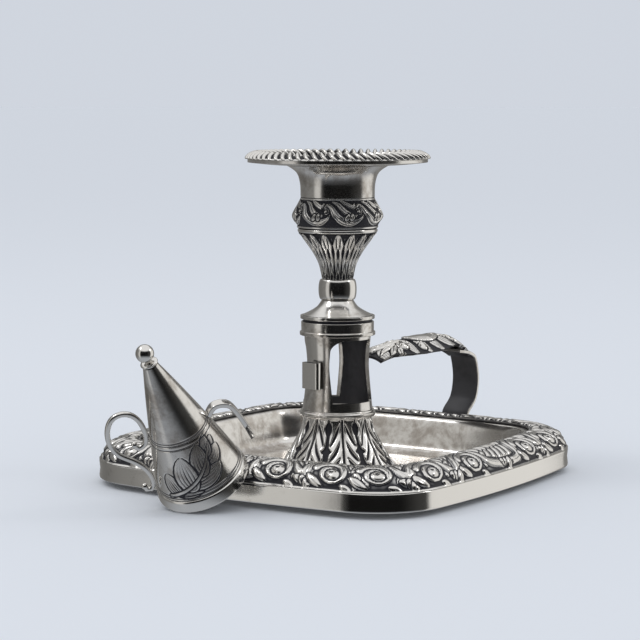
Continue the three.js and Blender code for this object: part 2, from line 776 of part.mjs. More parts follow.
// hook: a flat strip that arches off the cone and hangs down beside it to a blunt point
const hookRootZ = CONE_HEIGHT * 0.46;
const hookArch = 2.4; // rise of the arch above the root
const hookTipZ = CONE_HEIGHT * 0.14;
const hookTipReach = coneRadiusAt(hookTipZ) + HOOK_STANDOFF;
const hookBend = coneRadiusAt(hookRootZ) + HOOK_STANDOFF + 1.3;
const hookBlade = sidePlate(
  strip(
    [
      [coneRadiusAt(hookRootZ) + CAST_GAP + 0.2, hookRootZ - 0.4],
      [coneRadiusAt(hookRootZ) + 2.6, hookRootZ + 1.4],
      [hookBend - 1.4, hookRootZ + hookArch - HOOK_THICKNESS],
      [hookBend + 0.3, hookRootZ - 1.2],
      [(hookBend + hookTipReach) / 2 + 0.4, (hookRootZ + hookTipZ) / 2],
      [hookTipReach, hookTipZ],
    ],
    HOOK_THICKNESS,
    14,
  ),
  HOOK_WIDTH,
);
const bladeAt = hookBlade.getAttribute("position");
const taperFrom = hookTipZ + 6;
for (let i = 0; i < bladeAt.count; i++) {
  const narrow = THREE.MathUtils.clamp((taperFrom - bladeAt.getZ(i)) / 6, 0, 1);
  bladeAt.setY(i, bladeAt.getY(i) * (1 - 0.7 * narrow));
}
add("hook", besideCone(hookBlade, FITTINGS_TURN + Math.PI), BRIGHT, extinguisher);

export default candlestick;
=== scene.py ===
"""Silver chamber candlestick: the looks, built round the packed frame.

Lengths are worked out in millimetres and written to the meshes in metres.
"""

import math

import bmesh
import bpy
import numpy as np
from mathutils import Matrix, Vector


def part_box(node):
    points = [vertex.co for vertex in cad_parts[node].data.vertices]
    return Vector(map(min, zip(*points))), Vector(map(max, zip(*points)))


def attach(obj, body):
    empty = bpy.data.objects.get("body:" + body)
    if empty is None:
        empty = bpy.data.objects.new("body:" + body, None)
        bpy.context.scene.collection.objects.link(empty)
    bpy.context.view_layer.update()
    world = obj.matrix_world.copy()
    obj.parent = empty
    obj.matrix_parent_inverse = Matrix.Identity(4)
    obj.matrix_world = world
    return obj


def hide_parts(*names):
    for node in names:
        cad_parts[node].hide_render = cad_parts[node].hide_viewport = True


bl_info = {
    "name": "Silver Chamber Candlestick",
    "version": (1, 0, 0),
    "blender": (4, 5, 0),
    "location": "View3D > Sidebar > Candlestick",
    "description": "Builds the chased and polished silver of a chamber candlestick",
    "category": "Add Mesh",
}

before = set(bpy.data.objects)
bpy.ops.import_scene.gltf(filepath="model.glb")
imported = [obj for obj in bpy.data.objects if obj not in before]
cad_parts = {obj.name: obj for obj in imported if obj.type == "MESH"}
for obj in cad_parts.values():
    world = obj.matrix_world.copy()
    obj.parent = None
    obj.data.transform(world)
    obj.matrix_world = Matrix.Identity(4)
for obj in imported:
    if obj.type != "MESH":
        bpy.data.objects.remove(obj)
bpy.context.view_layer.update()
MM = 0.001

HANDLE_TURN = math.radians(-11.5)
LEAN = math.radians(34.5)
CAMERA_HEADING = math.radians(-57)


def low(node):
    """Lowest corner of a CAD node in millimetres."""
    return np.array(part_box(node)[0]) / MM


def high(node):
    """Highest corner of a CAD node in millimetres."""
    return np.array(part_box(node)[1]) / MM


# ---- sizes and colours that a user would change --------------------------------------------------


def length(name, description, default_mm):
    """A length setting, given here in millimetres."""
    return bpy.props.FloatProperty(
        name=name, description=description, default=default_mm * MM, unit="LENGTH", precision=4
    )


def share(name, description, default):
    """A setting from 0 to 1."""
    return bpy.props.FloatProperty(
        name=name, description=description, default=default, min=0, max=1, subtype="FACTOR"
    )


def colour(name, description, default):
    """A colour setting."""
    return bpy.props.FloatVectorProperty(
        name=name, description=description, default=default, min=0, max=1, size=4, subtype="COLOR"
    )


class FinishSettings(bpy.types.PropertyGroup):
    """Colours of the silver."""

    silver: colour("Silver", "Clean polished silver", (0.80, 0.785, 0.76, 1))
    tarnish: colour("Tarnish", "Thin brown film on worn silver", (0.40, 0.36, 0.32, 1))
    # This black is the patina in the chased hollows and also painted shade inside and under parts.
    patina_and_shade: colour("Patina", "Black left in the recesses", (0.018, 0.018, 0.024, 1))
    polish: share("Polish Roughness", "Roughness of a clean polished face", 0.11)


class TraySettings(bpy.types.PropertyGroup):
    """Sizes of the tray."""

    bow_radius: length("Side Bow Radius", "Radius of the swelling sides", 400)
    corner_radius: length("Corner Radius", "Radius of the tray's corners", 24)
    border_width: length("Border Width", "Width of the leaf border", 12)
    pan_foot: length("Pan Foot", "Tray edge to the foot of the pan's wall", 19)
    relief: length("Border Relief", "Depth of the border's leaves and volutes", 1.25)


class ColumnSettings(bpy.types.PropertyGroup):
    """Sizes of the column."""

    stem_waist: length("Stem Waist", "Radius of the stem's waist", 10.45)
    slot_half: length("Slot Half Width", "Half the width of the snuffers' slot", 8.5)
    slot_shift: length("Slot Shift", "Slot's middle from the axis, away from the handle", 0.6)
    slot_sill: length("Slot Sill", "Ring of metal below the slot", 2.8)
    slot_height: length("Slot Height", "Height of the snuffers' slot", 20.6)
    relief: length("Leaf Relief", "Depth of the leaves on foot and capital", 0.8)
    leaves: bpy.props.IntProperty(
        name="Calyx Leaves", description="Leaves round the calyx", default=16, min=6, max=24
    )
    motifs: bpy.props.IntProperty(
        name="Foot Motifs", description="Leaf motifs round the foot", default=8, min=4, max=12
    )
    scrolls: bpy.props.IntProperty(
        name="Band Scrolls", description="Scrolls round the capital", default=8, min=4, max=12
    )


class NozzleSettings(bpy.types.PropertyGroup):
    """Sizes of the nozzle."""

    gadroons: bpy.props.IntProperty(
        name="Gadroons", description="Slanted lobes round the rim", default=64, min=24, max=96
    )
    slant: bpy.props.FloatProperty(
        name="Slant",
        description="Turn of a gadroon between its inner and outer end",
        default=math.radians(-9),
        subtype="ANGLE",
    )


class HandleSettings(bpy.types.PropertyGroup):
    """Sizes of the handle."""

    strap_width: length("Strap Width", "Width of the strap", 11.5)
    strap_thickness: length("Strap Thickness", "Thickness of the strap", 1.2)
    thumb_width: length("Thumb-piece Width", "Width of the thumb-piece", 19)
    relief: length("Thumb-piece Relief", "Depth of the thumb-piece's leaves", 1.3)


class ExtinguisherSettings(bpy.types.PropertyGroup):
    """Sizes of the extinguisher."""

    mouth_radius: length("Mouth Radius", "Radius of the cone's mouth", 14.7)
    tip_radius: length("Tip Radius", "Radius of the cone's tip", 2.3)
    cone_height: length("Cone Height", "Mouth to tip along the axis", 46.2)
    wire: length("Scroll Wire", "Thickness of the scroll handle's wire", 1.6)


class StageSettings(bpy.types.PropertyGroup):
    """Camera and light."""

    distance: length("Camera Distance", "Camera to the column, along the floor", 692.9)
    height: length("Camera Height", "Camera above the table", 122.7)
    aside: length("Camera Offset", "Camera to the left of the column's line", 5.8)
    tilt: bpy.props.FloatProperty(
        name="Camera Tilt",
        description="Camera's look below the horizon",
        default=math.radians(5.84),
        subtype="ANGLE",
    )
    lens: bpy.props.FloatProperty(
        name="Lens", description="Focal length", default=118.5, unit="CAMERA"
    )
    floor: colour("Floor", "Pale table", (0.81, 0.84, 0.88, 1))


# ---- mesh helpers --------------------------------------------------------------------------------


def spline(points, count):
    """A smooth curve through a few points, as count + 1 points."""
    p = np.array(points, float)
    last = len(p) - 1
    t = np.linspace(0, last, count + 1)
    i = np.minimum(t.astype(int), last - 1)
    f = (t - i)[:, None]
    before, here = p[np.maximum(i - 1, 0)], p[i]
    there, after = p[i + 1], p[np.minimum(i + 2, last)]
    leave, arrive = (there - before) / 2, (after - here) / 2
    cubic = 2 * here - 2 * there + leave + arrive
    square = 3 * there - 3 * here - 2 * leave - arrive
    return cubic * f**3 + square * f**2 + leave * f + here


def fair_curve(points, count):
    """A natural cubic curve through a few points, by the length of its chords."""
    p = np.array(points, float)
    knot = np.r_[0, np.cumsum(np.hypot(*np.diff(p, axis=0).T))]
    h = np.diff(knot)
    n = len(p)
    band = np.eye(n)
    right = np.zeros((n, 2))
    for i in range(1, n - 1):
        band[i, i - 1 : i + 2] = h[i - 1], 2 * (h[i - 1] + h[i]), h[i]
        right[i] = 6 * ((p[i + 1] - p[i]) / h[i] - (p[i] - p[i - 1]) / h[i - 1])
    bend = np.linalg.solve(band, right)
    t = np.linspace(0, knot[-1], count + 1)
    i = np.clip(np.searchsorted(knot, t, side="right") - 1, 0, n - 2)
    a, b, step = (knot[i + 1] - t)[:, None], (t - knot[i])[:, None], h[i][:, None]
    curve = (bend[i] * a**3 + bend[i + 1] * b**3) / (6 * step)
    curve += (p[i] / step - bend[i] * step / 6) * a
    return curve + (p[i + 1] / step - bend[i + 1] * step / 6) * b


def rounded(outline, radius, steps=3, closed=True):
    """An outline with its corners rounded."""
    p = np.array(outline, float)
    n = len(p)
    made = []
    for i in range(n):
        if not closed and i in (0, n - 1):
            made.append(p[i])
            continue
        a, b = p[i - 1] - p[i], p[(i + 1) % n] - p[i]
        la, lb = np.linalg.norm(a), np.linalg.norm(b)
        cosine = float(np.dot(a, b) / (la * lb))
        if cosine < -0.94:
            made.append(p[i])
            continue
        cut = min(radius, la * 0.4, lb * 0.4)
        start, end = p[i] + a / la * cut, p[i] + b / lb * cut
        for t in np.linspace(0, 1, steps + 1):
            made.append((1 - t) ** 2 * start + 2 * t * (1 - t) * p[i] + t**2 * end)
    return np.array(made)


def grid_faces(nu, nv, wrap_u, wrap_v):
    """Quads of a grid of nu by nv points, which may close on itself either way."""
    i = np.arange(nu if wrap_u else nu - 1)[:, None]
    j = np.arange(nv if wrap_v else nv - 1)[None, :]
    i2, j2 = (i + 1) % nu, (j + 1) % nv
    corners = [i * nv + j, i2 * nv + j, i2 * nv + j2, i * nv + j2]
    return np.stack([np.broadcast_to(c, (i.size, j.size)).ravel() for c in corners], 1)


def sheet_object(name, points, wrap_u=False, wrap_v=False, recess=None):
    """An object from a grid of points in millimetres, with how much black each point takes as an
    attribute: patina in the chased hollows, painted shade inside and under parts.
    """
    nu, nv = points.shape[:2]
    mesh = bpy.data.meshes.new(name)
    faces = grid_faces(nu, nv, wrap_u, wrap_v)
    mesh.from_pydata((points.reshape(-1, 3) * MM).tolist(), [], faces.tolist())
    depth = np.zeros((nu, nv)) if recess is None else np.broadcast_to(recess, (nu, nv))
    layer = mesh.attributes.new("recess", "FLOAT", "POINT")
    layer.data.foreach_set("value", depth.astype(np.float32).ravel())
    made = bpy.data.objects.new(name, mesh)
    bpy.context.scene.collection.objects.link(made)
    return made


def seal(made, crease=40, fill=False, weld=2e-6):
    """Welds seams and poles, closes open ends, turns the faces outwards and smooths them."""
    bm = bmesh.new()
    bm.from_mesh(made.data)
    bmesh.ops.remove_doubles(bm, verts=bm.verts, dist=weld)
    bmesh.ops.dissolve_degenerate(bm, edges=bm.edges, dist=1e-7)
    if fill:
        bmesh.ops.holes_fill(bm, edges=[e for e in bm.edges if e.is_boundary], sides=0)
        bmesh.ops.triangulate(bm, faces=[f for f in bm.faces if len(f.verts) > 4])
        bmesh.ops.recalc_face_normals(bm, faces=bm.faces)
    if bm.calc_volume(signed=True) < 0:
        bmesh.ops.reverse_faces(bm, faces=bm.faces)
    limit = math.radians(crease)
    for face in bm.faces:
        face.smooth = True
    for edge in bm.edges:
        edge.smooth = edge.calc_face_angle(0) < limit
    bm.to_mesh(made.data)
    bm.free()
    return made


def turned(profile, steps):
    """Points of a profile of (radius, height) turned about Z."""
    angle = np.arange(steps) * 2 * math.pi / steps
    r, z = profile[:, 0], profile[:, 1]
    x = np.cos(angle)[:, None] * r
    y = np.sin(angle)[:, None] * r
    return np.stack([x, y, np.broadcast_to(z, x.shape)], 2)


def turned_piece(name, outline, soften=0.25, steps=144, on_axis=False, recess=None):
    """A finished turned solid. Its outline is closed, or starts and ends on the axis."""
    profile = rounded(outline, soften, closed=not on_axis)
    depth = None
    if recess is not None:
        depth = recess(profile[:, 0], profile[:, 1])[None, :]
    made = sheet_object(name, turned(profile, steps), True, not on_axis, depth)
    return seal(made)


def joined(first, second):
    """Adds the second object's mesh to the first's."""
    bm = bmesh.new()
    bm.from_mesh(first.data)
    bm.from_mesh(second.data)
    bm.to_mesh(first.data)
    bm.free()
    spent = second.data
    bpy.data.objects.remove(second)
    bpy.data.meshes.remove(spent)
    return first


def place(made, matrix):
    """Moves a mesh to its place, so that its object stays at the origin."""
    made.data.transform(matrix)
    return made


def hold(made, node, body, slot, material, *others):
    """Gives a piece its material and its body, and hides the CAD nodes it stands for."""
    if material is not None:
        made.data.materials.clear()
        made.data.materials.append(bpy.data.materials[material])
    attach(made, body)
    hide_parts(node, *others)
    return made


HANDLE_PLACE = Matrix.Rotation(HANDLE_TURN, 4, "Z")


# ---- Geometry Nodes: a segment repeated round the axis -------------------------------------------


def repeat_tree():
    """The tree that turns copies of a segment round Z, built once."""
    name = "Repeat Round Axis"
    if name in bpy.data.node_groups:
        return bpy.data.node_groups[name]
    tree = bpy.data.node_groups.new(name, "GeometryNodeTree")
    face = tree.interface
    face.new_socket("Geometry", in_out="INPUT", socket_type="NodeSocketGeometry")
    face.new_socket("Count", in_out="INPUT", socket_type="NodeSocketInt")
    face.new_socket("Material", in_out="INPUT", socket_type="NodeSocketMaterial")
    face.new_socket("Geometry", in_out="OUTPUT", socket_type="NodeSocketGeometry")
    new, link = tree.nodes.new, tree.links.new
    given, result = new("NodeGroupInput"), new("NodeGroupOutput")
    points, index = new("GeometryNodePoints"), new("GeometryNodeInputIndex")
    step, turn = new("ShaderNodeMath"), new("ShaderNodeMath")
    step.operation, turn.operation = "DIVIDE", "MULTIPLY"
    step.inputs[0].default_value = 2 * math.pi
    euler, rotation = new("ShaderNodeCombineXYZ"), new("FunctionNodeEulerToRotation")
    copies, real = new("GeometryNodeInstanceOnPoints"), new("GeometryNodeRealizeInstances")
    coat = new("GeometryNodeSetMaterial")
    link(given.outputs["Count"], points.inputs["Count"])
    link(given.outputs["Count"], step.inputs[1])
    link(step.outputs[0], turn.inputs[0])
    link(index.outputs[0], turn.inputs[1])
    link(turn.outputs[0], euler.inputs["Z"])
    link(euler.outputs[0], rotation.inputs[0])
    link(points.outputs[0], copies.inputs["Points"])
    link(given.outputs["Geometry"], copies.inputs["Instance"])
    link(rotation.outputs[0], copies.inputs["Rotation"])
    link(copies.outputs[0], real.inputs[0])
    link(real.outputs[0], coat.inputs["Geometry"])
    link(given.outputs["Material"], coat.inputs["Material"])
    link(coat.outputs[0], result.inputs[0])
    return tree


def repeated(segment, name, count, material, **sealing):
    """The segment repeated round the axis, as one plain closed mesh."""
    tree = repeat_tree()
    modifier = segment.modifiers.new("Repeat", "NODES")
    modifier.node_group = tree
    values = {"Count": count, "Material": bpy.data.materials[material]}
    for item in tree.interface.items_tree:
        if item.in_out == "INPUT" and item.name in values:
            modifier[item.identifier] = values[item.name]
    segment.update_tag()
    seen = bpy.context.evaluated_depsgraph_get()
    mesh = bpy.data.meshes.new_from_object(segment.evaluated_get(seen))
    source = segment.data
    bpy.data.objects.remove(segment)
    bpy.data.meshes.remove(source)
    mesh.name = name
    made = bpy.data.objects.new(name, mesh)
    bpy.context.scene.collection.objects.link(made)
    return seal(made, **sealing)


# ---- relief: heights drawn on a flat chart, 0 at the ground and 1 at the top ---------------------


def blurred(field, reach, wrap=True):
    """A soft average of a field, which closes on itself along its first axis."""
    for axis in (0, 1):
        for _ in range(2):
            total = field.copy()
            for k in range(1, reach + 1):
                for s in (-k, k):
                    total += shifted(field, s, axis, wrap and axis == 0)
            field = total / (2 * reach + 1)
    return field


def shifted(field, step, axis, wrap):
    """A field moved along an axis. It either wraps round or repeats its edge."""
    if wrap:
        return np.roll(field, step, axis)
    index = np.clip(np.arange(field.shape[axis]) - step, 0, field.shape[axis] - 1)
    return np.take(field, index, axis)


def depth_of(height, reach=3, wrap=True, ground=0.6, hollow=2.2):
    """How much black a recess keeps: low ground, and whatever lies below its surroundings."""
    below = blurred(height, reach, wrap) - height
    return np.clip(ground * (1 - height) ** 1.5 + hollow * below, 0, 1)


def strip_field(x, y, path):
    """How far points lie from a strip's middle line in half widths, on which side, and how clear."""
    share = np.full(x.shape, 9.0)
    side, clear = np.zeros_like(x), np.full(x.shape, 9.0)
    for a, b in zip(path[:-1], path[1:]):
        dx, dy = b[0] - a[0], b[1] - a[1]
        size = max(dx * dx + dy * dy, 1e-9)
        t = np.clip(((x - a[0]) * dx + (y - a[1]) * dy) / size, 0, 1)
        ox, oy = x - a[0] - t * dx, y - a[1] - t * dy
        width = np.maximum(a[2] + (b[2] - a[2]) * t, 0.02)
        off = np.hypot(ox, oy)
        better = off / width < share
        share = np.where(better, off / width, share)
        side = np.where(better, np.sign(dx * oy - dy * ox) * off / width, side)
        clear = np.minimum(clear, off - width)
    return share, side, clear


def lobe(base, heading, size, width, bend=0.0):
    """Path of a leaf lobe that leaves its base at a heading in degrees and bends to its tip."""
    t = np.linspace(0, 1, 9)
    angle = math.radians(heading) + bend * t
    x = base[0] + np.r_[0, np.cumsum(np.cos(angle[:-1]) * size / 8)]
    y = base[1] + np.r_[0, np.cumsum(np.sin(angle[:-1]) * size / 8)]
    half = width * np.sin(math.pi * (0.12 + 0.88 * t) ** 0.85) ** 0.7
    half[-1] = width * 0.12
    return np.c_[x, y, half]


class Chart:
    """Relief on a flat chart that repeats along x. Later strokes cover earlier ones."""

    def __init__(self, x, y, period=1000.0, ground=0.0):
        self.x, self.y, self.period = x, y, period
        self.height = np.full(x.shape, float(ground))

    def stroke(self, path, groove=0.0, ribs=0, level=1.0, outline=0.3, fine=0.22):
        """A rounded strip with a dark outline, grooved along its middle or ribbed."""
        path = np.array(path, float)
        for shift in (-self.period, 0, self.period):
            moved = path + [shift, 0, 0]
            reach = path[:, 2].max() + outline
            near = (self.x > moved[:, 0].min() - reach) & (self.x < moved[:, 0].max() + reach)
            near &= (self.y > moved[:, 1].min() - reach) & (self.y < moved[:, 1].max() + reach)
            if not near.any():
                continue
            share, side, clear = strip_field(self.x[near], self.y[near], moved)
            made = level * np.sqrt(np.clip(1 - share**2, 0, 1))
            if groove:
                made *= 1 - groove * np.exp(-((side / fine) ** 2))
            if ribs:
                made *= 1 - 0.45 * (0.5 - 0.5 * np.cos(math.pi * ribs * (side + 1)))
            self.height[near] = np.where(clear < outline, made, self.height[near])

    def leaf(self, base, heading, size, width, bend=0.0, groove=0.5, ribs=0, level=1.0):
        """A leaf lobe with its vein."""
        self.stroke(lobe(base, heading, size, width, bend), groove, ribs, level)

    def volute(self, centre, reach, turns=1.3, start=160.0, hand=1, eye=0.36):
        """A spiral scroll round a domed eye. Its band is split into two ridges."""
        t = np.linspace(0, 1, 40)
        angle = math.radians(start) - hand * t * turns * 2 * math.pi
        rho = reach * (0.80 - (0.80 - eye * 0.4) * t**0.92)
        half = reach * (0.19 - 0.05 * t)
        x, y = centre[0] + rho * np.cos(angle), centre[1] + rho * np.sin(angle)
        self.stroke(np.c_[x, y, half], groove=0.6, fine=0.2)
        self.stroke([[x[-1], y[-1], reach * eye], [x[-1] + 0.05, y[-1], reach * eye]])
        spot = [x[-1] - reach * 0.06, y[-1] + reach * 0.1, reach * 0.07]
        self.stroke([spot, [spot[0] + 0.3, spot[1], reach * 0.05]], level=0.25, outline=0.0)


# ---- materials -----------------------------------------------------------------------------------


def node_group(name, inputs, outputs):
    """A new shader group with its sockets, its input node and its output node."""
    group = bpy.data.node_groups.new(name, "ShaderNodeTree")
    for label, kind, value in inputs:
        socket = group.interface.new_socket(label, in_out="INPUT", socket_type=kind)
        if value is not None:
            socket.default_value = value
    for label, kind in outputs:
        group.interface.new_socket(label, in_out="OUTPUT", socket_type=kind)
    return group, group.nodes.new("NodeGroupInput"), group.nodes.new("NodeGroupOutput")


FLOAT, COLOUR, VECTOR = "NodeSocketFloat", "NodeSocketColor", "NodeSocketVector"


def math_node(tree, operation, first, second):
    """Output of a sum on two numbers or sockets."""
    node = tree.nodes.new("ShaderNodeMath")
    node.operation = operation
    for socket, value in zip(node.inputs, (first, second)):
        if isinstance(value, bpy.types.NodeSocket):
            tree.links.new(value, socket)
        else:
            socket.default_value = value
    return node.outputs[0]


def ranged(tree, value, start, end):
    """A smooth step from 0 to 1 while a value goes from start to end."""
    node = tree.nodes.new("ShaderNodeMapRange")
    node.interpolation_type = "SMOOTHSTEP"
    tree.links.new(value, node.inputs["Value"])
    node.inputs["From Min"].default_value = start
    node.inputs["From Max"].default_value = end
    return node.outputs[0]


def mixed(tree, factor, first, second):
    """A blend of two colours or colour sockets."""
    node = tree.nodes.new("ShaderNodeMix")
    node.data_type = "RGBA"
    tree.links.new(factor, node.inputs["Factor"])
    a, b = [s for s in node.inputs if s.type == "RGBA"]
    for socket, value in ((a, first), (b, second)):
        if isinstance(value, bpy.types.NodeSocket):
            tree.links.new(value, socket)
        else:
            socket.default_value = value
    return [s for s in node.outputs if s.type == "RGBA"][0]


def noise(tree, vector, scale, detail, roughness, distortion=0.0):
    """Output of a noise texture."""
    node = tree.nodes.new("ShaderNodeTexNoise")
    tree.links.new(vector, node.inputs["Vector"])
    node.inputs["Scale"].default_value = scale
    node.inputs["Detail"].default_value = detail
    node.inputs["Roughness"].default_value = roughness
    node.inputs["Distortion"].default_value = distortion
    return node.outputs["Fac"]


def tarnish_group():
    """Blotches of tarnish: broad clouds broken up by a finer grain."""
    tree, given, result = node_group(
        "Tarnish Clouds",
        [("Vector", VECTOR, None), ("Spread", FLOAT, 0.5)],
        [("Mask", FLOAT)],
    )
    broad = noise(tree, given.outputs["Vector"], 70, 5, 0.6, 0.8)
    fine = noise(tree, given.outputs["Vector"], 420, 4, 0.65)
    broad_part = math_node(tree, "MULTIPLY", broad, 0.72)
    fine_part = math_node(tree, "MULTIPLY", fine, 0.28)
    clouds = math_node(tree, "ADD", broad_part, fine_part)
    edge = math_node(tree, "SUBTRACT", 0.78, given.outputs["Spread"])
    above = math_node(tree, "SUBTRACT", clouds, edge)
    tree.links.new(ranged(tree, above, 0.0, 0.22), result.inputs["Mask"])
    return tree


def marks_group():
    """Fine rubbing marks and tiny dents, as a height."""
    tree, given, result = node_group(
        "Rubbing Marks", [("Vector", VECTOR, None)], [("Height", FLOAT)]
    )
    stretch = tree.nodes.new("ShaderNodeMapping")
    stretch.inputs["Scale"].default_value = (1, 1, 9)
    stretch.inputs["Rotation"].default_value = (0.3, 0.5, 0)
    tree.links.new(given.outputs["Vector"], stretch.inputs["Vector"])
    lines = noise(tree, stretch.outputs[0], 900, 3, 0.7)
    dents = noise(tree, given.outputs["Vector"], 130, 3, 0.5)
    line_part = math_node(tree, "MULTIPLY", lines, 0.3)
    dent_part = math_node(tree, "MULTIPLY", dents, 0.7)
    tree.links.new(math_node(tree, "ADD", line_part, dent_part), result.inputs["Height"])
    return tree


def patina_and_shade_group():
    """Lays tarnish over the silver, and black into its recesses: patina in the chased hollows,
    painted shade inside and under parts.
    """
    tree, given, result = node_group(
        "Recess Patina",
        [
            ("Recess", FLOAT, 0.0),
            ("Tarnish", FLOAT, 0.0),
            ("Silver", COLOUR, (0.8, 0.8, 0.8, 1)),
            ("Film", COLOUR, (0.3, 0.25, 0.2, 1)),
            ("Black", COLOUR, (0.02, 0.02, 0.02, 1)),
            ("Polish", FLOAT, 0.16),
        ],
        [("Colour", COLOUR), ("Roughness", FLOAT), ("Metallic", FLOAT)],
    )
    black = ranged(tree, given.outputs["Recess"], 0.12, 0.56)
    filmed = mixed(tree, given.outputs["Tarnish"], given.outputs["Silver"], given.outputs["Film"])
    tree.links.new(mixed(tree, black, filmed, given.outputs["Black"]), result.inputs["Colour"])
    dull = math_node(tree, "MULTIPLY", given.outputs["Tarnish"], 0.12)
    rough = math_node(tree, "MULTIPLY", black, 0.32)
    total = math_node(tree, "ADD", dull, rough)
    tree.links.new(
        math_node(tree, "ADD", total, given.outputs["Polish"]), result.inputs["Roughness"]
    )
    metal = math_node(tree, "SUBTRACT", 1.0, math_node(tree, "MULTIPLY", black, 0.7))
    tree.links.new(metal, result.inputs["Metallic"])
    return tree


def placed_group(tree, group, **values):
    """A shader group in a tree, with its inputs set or linked."""
    node = tree.nodes.new("ShaderNodeGroup")
    node.node_tree = group
    for label, value in values.items():
        if isinstance(value, bpy.types.NodeSocket):
            tree.links.new(value, node.inputs[label])
        else:
            node.inputs[label].default_value = value
    return node


def silver_material(name, settings, groups, spread, dulling=0.0, film=1.0, marks=0.05):
    """Silver with tarnish over a share of it, black in its recesses (patina in the chased hollows,
    painted shade inside and under parts) and rubbing marks.
    """
    material = bpy.data.materials.new(name)
    material.use_nodes = True
    tree = material.node_tree
    shader = tree.nodes["Principled BSDF"]
    where = tree.nodes.new("ShaderNodeTexCoord").outputs["Object"]
    recess = tree.nodes.new("ShaderNodeAttribute")
    recess.attribute_name = "recess"
    clouds = placed_group(tree, groups["tarnish"], Vector=where, Spread=spread)
    weak = math_node(tree, "MULTIPLY", clouds.outputs["Mask"], film)
    patina_and_shade = placed_group(
        tree,
        groups["patina_and_shade"],
        Recess=recess.outputs["Fac"],
        Tarnish=weak,
        Silver=tuple(settings.silver),
        Film=tuple(settings.tarnish),
        Black=tuple(settings.patina_and_shade),
        Polish=settings.polish + dulling,
    )
    tree.links.new(patina_and_shade.outputs["Colour"], shader.inputs["Base Color"])
    tree.links.new(patina_and_shade.outputs["Roughness"], shader.inputs["Roughness"])
    tree.links.new(patina_and_shade.outputs["Metallic"], shader.inputs["Metallic"])
    worn = placed_group(tree, groups["marks"], Vector=where)
    bump = tree.nodes.new("ShaderNodeBump")
    bump.inputs["Strength"].default_value = marks
    bump.inputs["Distance"].default_value = 0.0006
    tree.links.new(worn.outputs["Height"], bump.inputs["Height"])
    tree.links.new(bump.outputs["Normal"], shader.inputs["Normal"])
    return material


BRIGHT, WORN, CHASED = "Polished Silver", "Worn Silver", "Chased Silver"
SLOT = {BRIGHT: "bright_silver", WORN: "plain_silver", CHASED: "chased_silver"}


class CANDLESTICK_OT_finishes(bpy.types.Operator):
    """Makes the silver's materials and the groups they share"""

    bl_idname = "candlestick.finishes"
    bl_label = "Silver Finishes"

    def execute(self, context):
        settings = context.scene.candlestick_finish
        groups = {
            "tarnish": tarnish_group(),
            "marks": marks_group(),
            "patina_and_shade": patina_and_shade_group(),
        }
        silver_material(BRIGHT, settings, groups, spread=0.22, film=0.6)
        silver_material(WORN, settings, groups, spread=0.34, dulling=0.02, film=0.85, marks=0.07)
        silver_material(CHASED, settings, groups, spread=0.26, dulling=0.06, film=0.6, marks=0.06)
        return {"FINISHED"}


# ---- tray ----------------------------------------------------------------------------------------


class TrayOutline:
    """The tray's outline, stepped inwards by any amount: bowed sides and round corners."""

    CORNER_SHRINK = 0.6
    MIDDLE_INSET = 7.0  # where the border's length is measured

    def __init__(self, settings):
        self.half = high("tray_border")[0]
        self.bow = settings.bow_radius / MM
        self.corner = settings.corner_radius / MM
        _, _, corner, sweep = self.parts(self.MIDDLE_INSET)
        side = (self.bow - self.MIDDLE_INSET) * sweep
        turn = corner * (math.pi / 4 - sweep)
        self.side_length = 2 * (side + turn)
        self.corner_share = turn / (side + turn)

    def parts(self, inset):
        """Centres of the side's and the corner's arcs, the corner's radius, the side's sweep."""
        half, bow = self.half - inset, self.bow - inset
        corner = np.maximum(self.corner - self.CORNER_SHRINK * inset, 2.0)
        back = half - bow
        k = (back + np.sqrt(2 * (bow - corner) ** 2 - back**2)) / 2
        return back, k, corner, np.arctan2(k, k - back)

    def side(self, inset, along):
        """The +X side from corner to corner, along -1 to 1: points and outward headings."""
        inset, along = np.broadcast_arrays(inset, along)
        back, k, corner, sweep = self.parts(inset)
        straight = 1 - self.corner_share
        reach = np.abs(along)
        turn = np.clip((reach - straight) / self.corner_share, 0, 1)
        on_side = reach <= straight
        angle = np.where(
            on_side, sweep * along / straight, np.sign(along) * (sweep + (math.pi / 4 - sweep) * turn)
        )
        bow = self.bow - inset
        x = np.where(on_side, back + bow * np.cos(angle), k + corner * np.cos(angle))
        y_corner = np.sign(along) * k + corner * np.sin(angle)
        y = np.where(on_side, bow * np.sin(angle), y_corner)
        return x, y, angle


def tray_sheet(outline, section, along, pan_foot):
    """Points and outward headings of a section of (distance from centre, height) along a side."""
    u, z = section[:, 0][None, :], section[:, 1][None, :]
    inset = np.minimum(outline.half - u, pan_foot)
    x, y, angle = outline.side(inset, along[:, None])
    shrink = u / (outline.half - inset)
    points = np.stack([x * shrink, y * shrink, np.broadcast_to(z, x.shape)], 2)
    return points, angle


def section_normals(section):
    """Outward normals of a section that runs up its outer face."""
    slope = np.gradient(section, axis=0)
    normal = np.c_[slope[:, 1], -slope[:, 0]]
    return normal / np.linalg.norm(normal, axis=1)[:, None]


def tray_piece(name, outline, section, steps, pan_foot, material):
    """A plain piece that follows the tray's outline all round."""
    along = np.linspace(-1, 1, steps + 1)
    points, _ = tray_sheet(outline, section, along, pan_foot)
    segment = sheet_object(name + "_side", points, False, True)
    return repeated(segment, name, 4, material)


BORDER_REACH = 15.4  # the border's face, from its outer edge over the crest to the lip


